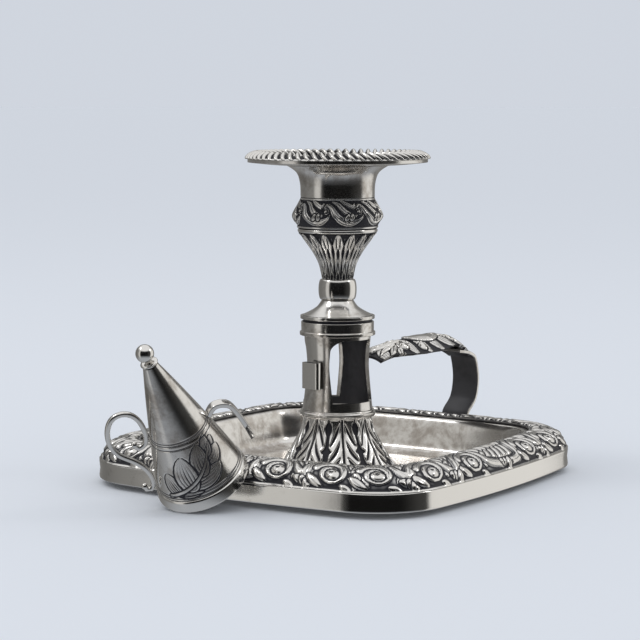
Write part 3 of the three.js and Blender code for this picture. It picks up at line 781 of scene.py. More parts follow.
def border_relief(s, t, side_length):
    """Running volutes, ribbed leaves and a leaf cluster on one side of the border.

    s runs along the side from its middle and t across it from the outer edge.
    """
    chart = Chart(s, t, side_length, ground=0.28)
    half = side_length / 2
    places = [part * half for part in (-0.745, -0.345, 0.315, 0.66, 0.915)]
    # lobes along the inner lip
    lobes = 18
    for k in range(lobes):
        at = -half + (k + 0.5) * side_length / lobes
        chart.leaf((at + 2.5, 8.6), 118, 7.6, 2.4, 0.35, groove=0.45, level=0.85)
        chart.leaf((at + 4.0, 8.6), 100, 6.6, 1.5, 0.3, groove=0.45, level=0.85)
    following = places[1:] + [places[0] + side_length]
    for here, there in zip(places, following):
        gap = there - here
        if gap < 15:
            for k, heading in enumerate((60, 84, -60, -88)):
                chart.leaf((here + gap * 0.58, 6.2), heading, 5.6, 1.6, 0.3 * (-1) ** k)
            continue
        count = int((gap - 12) / 3.1)
        for k in range(count):
            at = here + 6.4 + 3.1 * k
            chart.leaf((at, 3.8), 50 + 4 * k, 7.6, 1.75, 0.35, groove=0.6)
        run = [
            [here + 4.9, 11.4, 0.6],
            [here + 6.6, 7.6, 1.5],
            [here + 9.0, 4.4, 2.0],
            [here + gap * 0.5, 2.6, 1.8],
            [there - 8.6, 3.4, 2.2],
            [there - 7.4, 8.4, 2.1],
            [there - 4.6, 12.6, 1.5],
            [there - 1.0, 13.8, 0.5],
        ]
        chart.stroke(spline(run, 34), ribs=3)
        for k, heading in enumerate((-28, -62, -98)):
            chart.leaf((here + gap * 0.5 - 2.0 + 2.0 * k, 3.6), heading, 4.4, 1.5, -0.2)
    for here in places:
        chart.leaf((here + 3.6, 1.6), -30, 4.2, 1.3, -0.5, groove=0.45)
        chart.leaf((here - 6.8, 4.6), -52, 5.6, 1.5, 0.5, groove=0.5)
        chart.volute((here, 6.6), 6.7 if here < 0.8 * half else 6.0, turns=1.6)
    rim = 0.75 * np.exp(-(((t - 0.15) / 0.4) ** 2))
    return np.clip(np.maximum(chart.height, rim), 0, 1)


class CANDLESTICK_OT_tray(bpy.types.Operator):
    """Makes the pan, its leaf border and the plain band under it"""

    bl_idname = "candlestick.tray"
    bl_label = "Tray"

    def execute(self, context):
        settings = context.scene.candlestick_tray
        outline = TrayOutline(settings)
        foot = settings.pan_foot / MM
        self.border(outline, settings, foot)
        self.band(outline, foot)
        self.pan(outline, settings, foot)
        return {"FINISHED"}

    def border(self, outline, settings, foot):
        base, top = low("tray_border")[2], high("tray_border")[2]
        width = settings.border_width / MM
        crest = outline.half - 0.75 * width
        inner = outline.half - width
        angle = np.linspace(0, math.pi / 2, 37)
        ovolo = np.c_[
            crest + (outline.half - crest) * np.cos(angle), base + (top - base) * np.sin(angle)
        ]
        lip = spline([[crest, top], [inner + 1.2, top - 0.1], [inner, top - 1.0]], 12)[1:]
        face = np.vstack([ovolo, lip])
        under = np.array(
            [
                [inner + 0.1, top - 1.7],
                [crest - 1, top - 2.4],
                [crest + 4, top - 3.4],
                [outline.half - 3, base + 1.5],
                [outline.half - 2, base],
            ]
        )
        steps = 372
        along = np.linspace(-1, 1, steps + 1)
        across = np.concatenate([[0], np.cumsum(np.hypot(*np.diff(face, axis=0).T))])
        across *= BORDER_REACH / across[-1]
        s, t = np.meshgrid(along * outline.side_length / 2, across, indexing="ij")
        height = border_relief(s, t, outline.side_length)
        height[-1] = height[0]
        depth = depth_of(height, 3)
        depth[-1] = depth[0]
        points, heading = tray_sheet(outline, np.vstack([face, under]), along, foot)
        normal = section_normals(face)
        sink = (1 - blurred(height, 1)) * settings.relief / MM
        sink *= np.clip((across[-1] - across) / 0.9, 0, 1) ** 0.5 * np.clip(across / 0.5, 0, 1)
        sink[-1] = sink[0]
        n = len(face)
        points[:, :n, 0] -= sink * np.cos(heading[:, :n]) * normal[:, 0]
        points[:, :n, 1] -= sink * np.sin(heading[:, :n]) * normal[:, 0]
        points[:, :n, 2] -= sink * normal[:, 1]
        # The border's underside gets 0.5: painted shade under the overhang.
        recess = np.hstack([depth, np.full((steps + 1, len(under)), 0.5)])
        segment = sheet_object("border_side", points, False, True, recess)
        made = repeated(segment, "leaf_border", 4, CHASED, crease=70)
        hold(made, "tray_border", "holder", SLOT[CHASED], None)

    def band(self, outline, foot):
        z0, z1 = low("tray_rim_band")[2], high("tray_rim_band")[2]
        outer, wall = outline.half, 1.5
        section = rounded(
            [
                [outer - wall, z0],
                [outer - 0.1, z0],
                [outer, z0 + 0.7],
                [outer - 0.25, (z0 + z1) / 2],
                [outer, z1 - 0.5],
                [outer - 0.3, z1],
                [outer - wall, z1],
            ],
            0.3,
        )
        made = tray_piece("rim_band", outline, section, 96, foot, BRIGHT)
        hold(made, "tray_rim_band", "holder", SLOT[BRIGHT], None)

    def pan(self, outline, settings, foot):
        top = high("tray_pan")[2]
        sheet, inner = 1.2, outline.half - settings.border_width / MM
        flat = outline.half - foot
        upper = spline(
            [
                [inner + 3.2, top],
                [inner - 0.6, top],
                [inner - 2.2, top - 1.2],
                [inner - 4.0, top - 6.5],
                [flat + 1.4, sheet + 1.5],
                [flat - 1.4, sheet + 0.1],
                [flat - 5.0, sheet],
            ],
            36,
        )
        floor = np.c_[np.linspace(flat - 6, 0, 22), np.full(22, sheet)]
        # the floor has sagged very slightly and was beaten flat again
        floor[:, 1] += 0.12 * np.cos(floor[:, 0] * 0.16)
        lower = np.c_[np.linspace(0, flat - 4, 10), np.zeros(10)]
        rise = spline(
            [[flat, 0], [flat + 2.2, 1.0], [inner - 3, top - 7.6], [inner - 0.6, top - sheet]], 16
        )
        back = np.array([[inner + 3.2, top - sheet]])
        section = np.vstack([upper, floor, lower, rise, back])
        made = tray_piece("tray_pan_sheet", outline, section, 72, foot, WORN)
        hold(made, "tray_pan", "holder", SLOT[WORN], None)


# ---- column --------------------------------------------------------------------------------------


def relief_segment(name, outer, wall, relief, height, depth, repeats, turn):
    """One of several like segments of a turned shell whose outer face carries relief.

    outer is the smooth outer face from foot to top; height and depth are charts of it.
    """
    steps = height.shape[0] - 1
    angle = (np.arange(steps + 1) / steps - 0.5) * 2 * math.pi / repeats + math.radians(turn)
    normal = section_normals(outer)
    fade = np.clip(np.minimum(np.arange(len(outer)), np.arange(len(outer))[::-1]) / 2.5, 0, 1)
    sink = (1 - height) * relief * fade
    r = outer[:, 0] - sink * normal[:, 0]
    z = outer[:, 1] - sink * normal[:, 1]
    back = outer[::-4]
    r = np.hstack([r, np.broadcast_to(back[:, 0] - wall, (steps + 1, len(back)))])
    z = np.hstack([z, np.broadcast_to(back[:, 1], (steps + 1, len(back)))])
    points = np.stack([r * np.cos(angle)[:, None], r * np.sin(angle)[:, None], z], 2)
    # The back faces get 0.6: painted shade inside the shell.
    recess = np.hstack([depth, np.full((steps + 1, len(back)), 0.6)])
    return sheet_object(name, points, False, True, recess)


def ends_matched(field):
    """Makes a chart's two ends the same, so that its copies meet."""
    field[-1] = field[0]
    return field


def foot_relief(a, b):
    """Acanthus leaflets each side of a black recess: a runs across a motif, b up it."""
    u = np.abs(a)
    widths = [0.10, 0.12, 0.36, 0.10, 0.09, 0.11, 0.26, 0.07, 0.05, 0.05, 0.17, 0.22, 0.15, 0.0]
    levels = [0.0, 0.16, 0.24, 0.3, 0.4, 0.46, 0.5, 0.56, 0.64, 0.72, 0.78, 0.84, 0.89, 0.94]
    opening = np.interp(b, levels, widths)
    lip = np.clip((u - opening) / 0.09, 0, 1)
    run = 1 - u
    height = 0.74 + 0.1 * np.sin(math.pi * np.clip(u, 0, 1))
    for start, drop in ((1.02, 0.52), (0.76, 0.52), (0.5, 0.46), (0.26, 0.36)):
        line = start - drop * run**0.8
        window = np.clip((run - 0.14) / 0.2, 0, 1) * np.clip((0.98 - run) / 0.3, 0, 1)
        thin = 0.012 + 0.036 * np.sin(math.pi * np.clip((run - 0.1) / 0.75, 0, 1))
        height -= 0.8 * window * np.exp(-(((b - line) / thin) ** 2))
        height += 0.2 * np.clip(run * 3, 0, 1) * np.exp(-(((b - line - 0.09) / 0.05) ** 2))
    height += 0.2 * np.exp(-(((u - opening - 0.13) / 0.05) ** 2)) * (b > 0.3)
    height *= lip
    height -= 0.95 * np.exp(-(((u - 1) / 0.06) ** 2))
    height += 0.1 * np.exp(-(((u - 0.86) / 0.06) ** 2))
    return np.clip(height, 0, 1)


def calyx_relief(a, b):
    """Upright leaves, each with a black lancet over a chevron, and dark gaps at their tips."""
    u = np.abs(a)
    tip = np.sqrt(np.clip((0.98 - b) / 0.26, 0, 1))
    lobes = 0.86 + 0.1 * np.cos(2 * math.pi * (b * 2.6 + 0.1))
    edge = (u / np.maximum(lobes * tip, 0.02)).clip(0, 3)
    height = np.clip((1.0 - edge) / 0.12, 0, 1) * (0.78 + 0.22 * np.cos(3.1 * (edge - 0.72)))
    lancet = 0.34 * np.sin(math.pi * np.clip((b - 0.34) / 0.3, 0, 1)) ** 0.8
    height *= 1 - np.clip((lancet - u) / 0.1, 0, 1)
    chevron = b - 0.3 + 0.34 * u
    height -= 0.75 * np.exp(-((chevron / 0.03) ** 2)) * (u < 0.9)
    foot = 0.45 * np.clip((0.14 - b) / 0.06, 0, 1)
    height *= 1 - np.clip((foot - u) / 0.12, 0, 1)
    vein = np.clip((b - 0.62) / 0.05, 0, 1) * np.clip((0.94 - b) / 0.08, 0, 1)
    height -= 0.6 * vein * np.exp(-(((u - 0.3) / 0.1) ** 2))
    behind = np.clip((u - 0.9) / 0.1, 0, 1) * (b < 0.86) * (b > 0.3)
    return np.clip(np.maximum(height, 0.35 * behind), 0, 1)


def band_relief(s, t, repeat, tall):
    """Running scroll: a leafy stem leaves each small volute and falls to the next one."""
    chart = Chart(s, t, repeat, ground=0.2)
    top = [
        [5.0, 0.95, 0.3],
        [7.0, 0.84, 0.8],
        [9.4, 0.74, 0.8],
        [repeat - 1.2, 0.84, 0.3],
    ]
    chart.stroke(spline([[x, y * tall, w] for x, y, w in top], 14), groove=0.5)
    upper = [
        [2.2, 0.90, 0.3],
        [4.2, 0.82, 0.75],
        [6.3, 0.60, 0.95],
        [8.4, 0.45, 0.95],
        [repeat - 1.3, 0.46, 0.4],
    ]
    chart.stroke(spline([[x, y * tall, w] for x, y, w in upper], 18), groove=0.55, fine=0.28)
    lower = [
        [-1.0, 0.66, 0.25],
        [0.2, 0.80, 0.6],
        [1.9, 0.70, 0.9],
        [3.4, 0.46, 1.2],
        [5.6, 0.25, 1.35],
        [8.6, 0.2, 1.25],
        [repeat + 0.2, 0.32, 0.6],
        [repeat + 1.3, 0.47, 0.2],
    ]
    chart.stroke(spline([[x, y * tall, w] for x, y, w in lower], 30), ribs=2)
    for at, heading in ((6.6, 62), (8.4, 76)):
        chart.leaf((at, tall * 0.3), heading, 2.6, 0.75, 0.3, groove=0.4)
    chart.volute((0.0, tall * 0.57), 1.5, turns=1.0, start=120, eye=0.4)
    edge = np.exp(-(((t - 0.25) / 0.3) ** 2)) + np.exp(-(((t - tall + 0.3) / 0.35) ** 2))
    return np.clip(np.maximum(chart.height, 0.9 * edge), 0, 1)


class CANDLESTICK_OT_column(bpy.types.Operator):
    """Makes the leaf-chased foot, the stem with its mouldings, and the capital"""

    bl_idname = "candlestick.column"
    bl_label = "Column"

    def execute(self, context):
        settings = context.scene.candlestick_column
        self.foot(settings)
        self.mouldings()
        self.stem(settings)
        self.hook_socket()
        self.calyx(settings)
        self.scroll_band(settings)
        self.neck()
        return {"FINISHED"}

    def foot(self, settings):
        z0, z1, r0 = low("foot_skirt")[2], high("foot_skirt")[2], high("foot_skirt")[0]
        r1 = 11.3
        outer = spline(
            [[r0, z0], [r0 - 3.6, z0 + 4.6], [r0 - 6.1, z0 + 8.8], [r1 + 1, z1 - 4.5], [r1, z1]], 84
        )
        a, b = np.meshgrid(np.linspace(-1, 1, 61), np.linspace(0, 1, len(outer)), indexing="ij")
        height = ends_matched(foot_relief(a, b))
        depth = ends_matched(depth_of(height, 2, ground=0.9))
        relief = settings.relief / MM
        segment = relief_segment("motif", outer, 1.6, relief, height, depth, settings.motifs, 18)
        made = repeated(segment, "leaf_foot", settings.motifs, CHASED, crease=75)
        hold(made, "foot_skirt", "holder", SLOT[CHASED], None)

    def mouldings(self):
        z0, z1, r = low("lower_collar")[2], high("lower_collar")[2], high("lower_collar")[0]
        outline = [[0, z0], [r - 0.5, z0], [r, z0 + 0.35], [r, z1 - 0.75], [r - 0.5, z1 - 0.5]]
        outline += [[r - 0.6, z1], [0, z1]]
        made = turned_piece("lower_moulding", outline, 0.3, on_axis=True)
        hold(made, "lower_collar", "holder", SLOT[WORN], WORN)

        z0, z1, r = low("upper_collar")[2], high("upper_collar")[2], high("upper_collar")[0]
        flange = 1.1
        outline = [[0, z0], [r, z0], [r, z0 + flange], [r - 0.5, z0 + flange + 0.15]]
        outline += [[r - 0.45, z1 - 2.1], [r - 1.15, z1 - 1.9], [r - 1.15, z1 - flange - 0.1]]
        outline += [[r - 0.2, z1 - flange], [r - 0.2, z1], [r - 2.3, z1], [r - 2.3, z0 + 1.2]]
        outline += [[0, z0 + 1.2]]

        # Blackens the groove below the top flange: painted shade in the crease.
        def groove_black(radius, z):
            return 0.9 * ((np.abs(z - z1 + 1.55) < 0.5) & (radius < r - 0.7) & (radius > r - 2))

        made = turned_piece("upper_moulding", outline, 0.18, on_axis=True, recess=groove_black)
        hold(made, "upper_collar", "holder", SLOT[WORN], WORN)

        z0, z1, r = low("shoulder")[2], high("shoulder")[2], high("shoulder")[0]
        ring = 5.2
        outer = spline([[r, z0], [r - 2.7, z0 + 1.3], [r - 4.9, z0 + 2.8], [ring, z1]], 30)
        inner = outer[::-3] - [1.1, 0]
        made = turned_piece("shoulder_cap", np.vstack([outer, inner]), 0.1)
        hold(made, "shoulder", "holder", SLOT[WORN], WORN)

        z0, z1, r = low("knop")[2], high("knop")[2], high("knop")[0]
        t = np.linspace(0, math.pi, 33)
        swell = ring + (r - ring) * np.sin(t) ** 0.7
        outer = np.c_[swell, z0 + (z1 - z0) * (1 - np.cos(t)) / 2]
        made = turned_piece("knop_ball", np.vstack([outer, [[4.1, z1], [4.1, z0]]]), 0.08)
        hold(made, "knop", "holder", SLOT[BRIGHT], BRIGHT)

        z0, z1, r = low("calyx_wire")[2], high("calyx_wire")[2], high("calyx_wire")[0]
        half = (z1 - z0) / 2
        t = np.linspace(0, 2 * math.pi, 20, endpoint=False)
        section = np.c_[r - half + half * np.cos(t), z0 + half + half * np.sin(t)]
        made = turned_piece("calyx_bead", section, 0.0)
        hold(made, "calyx_wire", "holder", SLOT[BRIGHT], BRIGHT)

        z0, z1, r = low("candle_stop")[2], high("candle_stop")[2], high("candle_stop")[0]
        outline = [[0, z0], [r, z0], [r, z1], [0, z1]]

        # The candle rest is painted half black all over: painted shade at the foot of the socket.
        def painted_shade_inside(radius, z):
            return np.full_like(radius, 0.5)

        made = turned_piece("candle_rest", outline, 0.15, 96, True, painted_shade_inside)
        hold(made, "candle_stop", "holder", SLOT[WORN], WORN)

    def stem(self, settings):
        z0, z1 = low("slotted_stem")[2], high("slotted_stem")[2]
        tall, waist = z1 - z0, settings.stem_waist / MM
        outer = spline(
            [[11.6, z0], [waist + 0.25, z0 + tall * 0.4], [waist, z0 + tall * 0.65], [11, z1]], 60
        )
        profile = np.vstack([outer, outer[::-2] - [1.0, 0]])
        # The tube's inner face gets 0.5: painted shade inside the stem, seen through the slot.
        inside = np.r_[np.zeros(len(outer)), np.full(len(profile) - len(outer), 0.5)]
        points = turned(profile, 180)
        tube = seal(sheet_object("stem_tube", points, True, True, inside[None, :]))
        half, sill = settings.slot_half / MM, z0 + settings.slot_sill / MM
        top, corner = sill + settings.slot_height / MM, 3.5
        arc = np.linspace(0, math.pi / 2, 10)
        right = np.c_[half - corner + corner * np.cos(arc), top - corner + corner * np.sin(arc)]
        outline = np.vstack([[[-half, sill], [half, sill]], right, right[::-1] * [-1, 1]])
        outline[:, 0] -= settings.slot_shift / MM
        deep = np.array([-16.0, 16.0])
        cut = np.stack(
            [np.stack([outline[:, 0], np.full(len(outline), y), outline[:, 1]], 1) for y in deep]
        )
        # The cutter's 0.4 passes to the slot's cut faces: painted shade on the slot's edges.
        cutter = sheet_object("slot_cut", cut, False, True, np.full(cut.shape[:2], 0.4))
        seal(place(cutter, HANDLE_PLACE), fill=True)
        cutting = tube.modifiers.new("Slot", "BOOLEAN")
        cutting.operation, cutting.object, cutting.solver = "DIFFERENCE", cutter, "EXACT"
        bevel = tube.modifiers.new("Edges", "BEVEL")
        bevel.width, bevel.segments, bevel.angle_limit = 0.22 * MM, 2, math.radians(50)
        bevel.limit_method = "ANGLE"
        seen = bpy.context.evaluated_depsgraph_get()
        mesh = bpy.data.meshes.new_from_object(tube.evaluated_get(seen))
        made = bpy.data.objects.new("stem_tube_cut", mesh)
        bpy.context.scene.collection.objects.link(made)
        bpy.data.objects.remove(tube)
        bpy.data.objects.remove(cutter)
        hold(seal(made, crease=35), "slotted_stem", "holder", SLOT[WORN], WORN)

    def hook_socket(self):
        z0, z1 = low("hook_socket")[2], high("hook_socket")[2]
        outer, inner, half, wall = 13.4, 11.05, 3.6, 0.48
        shape = rounded(
            [[inner, -half], [outer, -half], [outer, half], [inner, half]], 0.95, 6
        )
        hole = rounded(
            [[inner + wall, wall - half], [outer - wall, wall - half]]
            + [[outer - wall, half - wall], [inner + wall, half - wall]],
            0.35,
            6,
        )
        loops = [(shape, z0), (shape, z0 + 0.15), (shape, z1 - 0.15), (shape, z1)]
        loops += [(hole, z1), (hole, z1 - 0.3), (hole, z0 + 0.3), (hole, z0)]
        rows = np.stack([np.c_[loop, np.full(len(loop), z)] for loop, z in loops], 1)
        # The hole's walls are painted dark, darkest deep inside: painted shade in the socket.
        recess = np.array([0, 0, 0, 0, 0.4, 0.8, 0.8, 0.4])[None, :]
        made = sheet_object("hook_socket_tube", rows, True, True, recess)
        place(made, Matrix.Rotation(math.pi, 4, "Z"))
        place(made, HANDLE_PLACE)
        hold(seal(made), "hook_socket", "holder", SLOT[BRIGHT], BRIGHT)

    def calyx(self, settings):
        z0, z1, r1 = low("calyx")[2], high("calyx")[2], high("calyx")[0]
        r0, tall = 5.2, z1 - z0
        outer = spline(
            [
                [r0, z0],
                [r0 + 1.05, z0 + tall * 0.31],
                [r0 + 2.9, z0 + tall * 0.56],
                [r1 - 2.5, z0 + tall * 0.78],
                [r1, z1],
            ],
            84,
        )
        a, b = np.meshgrid(np.linspace(-1, 1, 35), np.linspace(0, 1, len(outer)), indexing="ij")
        height = ends_matched(calyx_relief(a, b))
        depth = ends_matched(depth_of(height, 2, ground=0.95))
        relief = settings.relief / MM * 0.85
        segment = relief_segment("leaf", outer, 1.4, relief, height, depth, settings.leaves, 11)
        made = repeated(segment, "leaf_calyx", settings.leaves, CHASED, crease=75)
        hold(made, "calyx", "holder", SLOT[CHASED], None)

    def scroll_band(self, settings):
        z0, z1, swell = low("scroll_band")[2], high("scroll_band")[2], high("scroll_band")[0]
        neck = swell - 2.8
        outer = spline(
            [
                [neck + 1.1, z0],
                [swell - 0.6, z0 + 2],
                [swell, z0 + 4.3],
                [neck + 1, z0 + 8],
                [neck, z1],
            ],
            54,
        )
        repeats = settings.scrolls
        repeat = 2 * math.pi * (swell - 0.8) / repeats
        across = np.concatenate([[0], np.cumsum(np.hypot(*np.diff(outer, axis=0).T))])
        s, t = np.meshgrid(np.linspace(-0.5, 0.5, 91) * repeat, across, indexing="ij")
        height = ends_matched(band_relief(s, t, repeat, across[-1]))
        depth = ends_matched(depth_of(height, 2, ground=1.0))
        segment = relief_segment("scroll", outer, 0.9, 0.55, height, depth, repeats, 17)
        made = repeated(segment, "scroll_frieze", repeats, CHASED, crease=75)
        hold(made, "scroll_band", "holder", SLOT[CHASED], None)

    def neck(self):
        z0, z1, lip = low("capital_neck")[2], high("capital_neck")[2], high("capital_neck")[0]
        neck, bore = lip - 4.5, 11.3
        tall = z1 - z0
        outer = spline(
            [[neck, z0], [neck + 0.2, z0 + tall * 0.44], [neck + 1.4, z0 + tall * 0.78], [lip, z1]],
            40,
        )
        made = turned_piece("neck_bell", np.vstack([outer, [[bore, z1], [bore, z0]]]), 0.15)
        hold(made, "capital_neck", "holder", SLOT[WORN], WORN)


# ---- nozzle --------------------------------------------------------------------------------------


class CANDLESTICK_OT_nozzle(bpy.types.Operator):
    """Makes the lift-out nozzle: sleeve, drip pan and gadroon rim"""

    bl_idname = "candlestick.nozzle"
    bl_label = "Nozzle"

    def execute(self, context):
        settings = context.scene.candlestick_nozzle
        z0, z1, r = low("nozzle_sleeve")[2], high("nozzle_sleeve")[2], high("nozzle_sleeve")[0]
        outline = [[r - 0.6, z0], [r, z0], [r, z1], [r - 0.6, z1]]

        # The sleeve's inner face is painted dark: painted shade inside the sleeve.
        def painted_shade_inside(radius, z):
            return np.where(radius < r - 0.3, 0.4, 0.0)

        made = turned_piece("sleeve_tube", outline, 0.15, recess=painted_shade_inside)
        hold(made, "nozzle_sleeve", "nozzle", SLOT[WORN], WORN)
        self.drip_pan()
        self.rim(settings)
        return {"FINISHED"}

    def drip_pan(self):
        z0, z1, edge = low("drip_pan")[2], high("drip_pan")[2], high("drip_pan")[0]
        eye, lip = high("nozzle_sleeve")[0] + 0.1, high("capital_neck")[0]
        sheet = 1.1
        under = spline([[eye, z0], [lip, z0], [lip + 6, z0 + 0.3], [edge, z1 - sheet]], 30)
        over = under[::-1] + [0, sheet]
        made = turned_piece("drip_dish", np.vstack([under, over]), 0.15)
        hold(made, "drip_pan", "nozzle", SLOT[WORN], WORN)

    def rim(self, settings):
        z0, z1, edge = low("gadroon_rim")[2], high("gadroon_rim")[2], high("gadroon_rim")[0]
        width = 6.6
        inner = edge - width
        count = settings.gadroons
        # a section of the rim: outer quarter-round, over the crest and down to the pan
        face = spline(
            [
                [edge - 0.1, z0],
                [edge, z0 + 0.4],
                [edge - 0.6, z0 + 1.3],
                [edge - 2.0, z1 - 0.5],
                [inner + width * 0.42, z1],
                [inner + 0.9, z1 - 0.9],
                [inner, z0 + 0.2],
            ],
            34,
        )
        back = np.array([[inner, z0], [inner + width / 2, z0]])
        steps = 18
        part = np.arange(steps + 1) / steps - 0.5
        across = np.linspace(0, 1, len(face))
        crest = np.sqrt(np.clip(1 - (3.1 * part) ** 2, 0, 1))[:, None]
        ends = np.clip(np.minimum(across / 0.12, (1 - across) / 0.1), 0, 1)[None, :]
        height = 1 - ends * (1 - crest)
        normal = section_normals(face)
        sink = (1 - height) * 1.35
        r = face[:, 0] - sink * normal[:, 0]
        z = face[:, 1] - sink * normal[:, 1]
        angle = part[:, None] * 2 * math.pi / count + settings.slant * (across - 0.5)[None, :]
        shift = np.full((steps + 1, len(back)), settings.slant * 0.5)
        shift[:, 1] = 0
        back_angle = part[:, None] * 2 * math.pi / count + shift
        r = np.hstack([r, np.broadcast_to(back[:, 0], (steps + 1, len(back)))])
        z = np.hstack([z, np.broadcast_to(back[:, 1], (steps + 1, len(back)))])
        angle = np.hstack([angle, back_angle])
        points = np.stack([r * np.cos(angle), r * np.sin(angle), z], 2)
        depth = np.clip((1 - height) * 1.5 - 0.35, 0, 1)
        # The rim's underside gets 0.4: painted shade under the rim.
        recess = np.hstack([depth, np.full((steps + 1, len(back)), 0.4)])
        segment = sheet_object("gadroon", points, False, True, recess)
        made = repeated(segment, "gadroons", count, CHASED, crease=80)
        hold(made, "gadroon_rim", "nozzle", SLOT[CHASED], None)


# ---- handle --------------------------------------------------------------------------------------


def swept_strip(path, width, thickness, soften, taper=None):
    """Points of a flat strip with rounded edges along a path in the XZ plane."""
    way = np.gradient(path, axis=0)
    way /= np.linalg.norm(way, axis=1)[:, None]
    side = np.c_[-way[:, 1], way[:, 0]]
    half = width / 2
    section = rounded(
        [[-half, 0], [half, 0], [half, thickness], [-half, thickness]], soften, 3
    )
    wide = np.ones(len(path)) if taper is None else taper
    x = path[:, None, 0] + side[:, None, 0] * section[None, :, 1]
    z = path[:, None, 1] + side[:, None, 1] * section[None, :, 1]
    y = wide[:, None] * section[None, :, 0]
    return np.stack([x, y, z], 2), section


class CANDLESTICK_OT_handle(bpy.types.Operator):
    """Makes the strap and the cast thumb-piece"""

    bl_idname = "candlestick.handle"
    bl_label = "Handle"

    def execute(self, context):
        settings = context.scene.candlestick_handle
        self.strap(settings)
        self.thumb_piece(settings)
        return {"FINISHED"}

    def strap(self, settings):
        foot_z = low("handle_strap")[2]
        foot = high("tray_border")[0] - 4.2
        reach, ridge = foot + 5.2, high("thumb_piece")[2]
        path = spline(
            [
                [foot - 0.6, foot_z - 1.7],
                [foot, foot_z],
                [reach - 1.4, foot_z + 4.4],
                [reach, foot_z + 11.4],
                [reach - 1.2, foot_z + 18.4],
                [reach - 3.0, ridge - 8.1],
                [reach - 6.4, ridge - 6.8],
                [reach - 10.5, ridge - 6.2],
            ],
            70,
        )
        points, section = swept_strip(
            path, settings.strap_width / MM, settings.strap_thickness / MM, 0.35
        )
        # One face of the strap, called inner, gets 0.5: painted shade.
        inner = 0.5 * (section[:, 1] > settings.strap_thickness / MM - 0.05)
        made = sheet_object("strap", points, False, True, inner[None, :])
        seal(place(made, HANDLE_PLACE), fill=True)
        hold(made, "handle_strap", "holder", SLOT[BRIGHT], WORN)

    def thumb_piece(self, settings):
        tip, reach = 15.3, high("tray_border")[0] + 1.0
        size, ridge = reach - 4 - tip, high("thumb_piece")[2]
        nu, nv = 190, 90
        along, across = np.meshgrid(np.linspace(0, 1, nu), np.linspace(-1, 1, nv), indexing="ij")
        wide = 0.3 + 0.7 * np.sin(math.pi * np.minimum(along * 0.82 + 0.12, 1)) ** 0.7
        scallop = 1 - 0.07 * np.abs(np.sin(along * math.pi * 7)) ** 0.6 * (along < 0.9)
        half = settings.thumb_width / MM / 2 * wide
        x = size * along
        y = half * across
        height = self.relief(x, y, size)
        crown = 4.6 * np.sin(math.pi * np.clip(along, 0.12, 0.8))
        drop_tip = 4.2 * (1 - np.minimum(along / 0.55, 1)) ** 2
        drop_end = 5.2 * np.maximum((along - 0.7) / 0.3, 0) ** 2
        z = ridge - drop_tip - drop_end - crown * across**2
        z = z - (1 - height) * settings.relief / MM * (1 - 0.5 * across**8)
        under = ridge - drop_tip - drop_end - crown * across**2 - 2.0
        y_cut = y * scallop
        top = np.stack([tip + x, y_cut, z], 2)
        bottom = np.stack([tip + x, y_cut * 0.985, np.minimum(under, z - 0.4)], 2)[:, ::-6]
        # The underside gets 0.45: painted shade under the thumb-piece.
        depth = np.hstack([depth_of(height, 2, False, ground=0.75), np.full(bottom.shape[:2], 0.45)])
        made = sheet_object("thumb_leaf", np.hstack([top, bottom]), False, True, depth)
        seal(place(made, HANDLE_PLACE), crease=75, fill=True)
        hold(made, "thumb_piece", "holder", SLOT[CHASED], CHASED)

    def relief(self, x, y, size):
        """Plain oval cartouche, scrolls round it, a shell at the strap and leaves at the tip."""
        chart = Chart(x, y, ground=0.05)
        middle = size * 0.54
        for side in (-1, 1):
            for k in range(8):
                start = (size * (0.10 + 0.115 * k), 1.0 * side)
                chart.leaf(start, side * (122 - 8 * k), 9.4, 2.1, -0.8 * side, ribs=2, level=0.9)
        for k in (3, -3, 2, -2, 1, -1, 0):
            chart.leaf((size * 0.70, 0), 13 * k, size * 0.3, 1.5, 0.1 * k, ribs=1)
        for k in (3, -3, 2, -2, 1, -1, 0):
            chart.leaf((size * 0.30, 0), 180 + 16 * k, size * 0.28, 1.5, 0.1 * k)
        for side in (-1, 1):
            chart.volute((size * 0.27, 4.4 * side), 3.4, 1.2, 20, side, 0.38)
            chart.volute((size * 0.78, 4.2 * side), 2.6, 1.1, 160, -side, 0.38)
        for at, off in ((0.40, 6.4), (0.43, -6.6)):
            chart.stroke([[size * at, off, 1.7], [size * at + 0.1, off, 1.7]], level=1.1)
        ring = np.hypot((x - middle) / 6.8, y / 4.6)
        height = np.where(ring < 1.16, 0.05, chart.height)
        height = np.where(np.abs(ring - 0.98) < 0.12, 0.95, height)
        dome = 0.55 + 0.35 * np.sqrt(np.clip(1 - ring**2, 0, 1))
        return np.clip(np.where(ring < 0.84, dome, height), 0, 1.1)


# ---- extinguisher --------------------------------------------------------------------------------


FITTINGS_TURN = math.radians(-44)
FACE_TURN = math.radians(46)
GAP = 0.3  # room for the solder between two cast parts
SCROLL_REACH = 21.6


class Cone:
    """The extinguisher's own frame and the shape of its side."""

    def __init__(self, settings):
        self.mouth = settings.mouth_radius / MM
        self.tip = settings.tip_radius / MM
        self.height = settings.cone_height / MM
        ball = (low("finial_ball") + high("finial_ball")) / 2
        radius = (high("finial_ball") - low("finial_ball"))[2] / 2
        self.ball = radius
        self.collar_foot = self.height + GAP
        self.collar_top = self.collar_foot + 1.1
        self.ball_z = self.collar_top + GAP + radius
        turn = Matrix.Rotation(math.pi, 4, "Z") @ Matrix.Rotation(LEAN, 4, "Y")
        axis = turn @ Vector((0, 0, 1))
        start = Vector(ball * MM) - axis * self.ball_z * MM
        self.place = Matrix.Translation(start) @ turn

    def radius(self, z):
        """The side's radius at a height. It swells slightly."""
        part = z / self.height
        return self.mouth + (self.tip - self.mouth) * part + 2 * part * (1 - part)


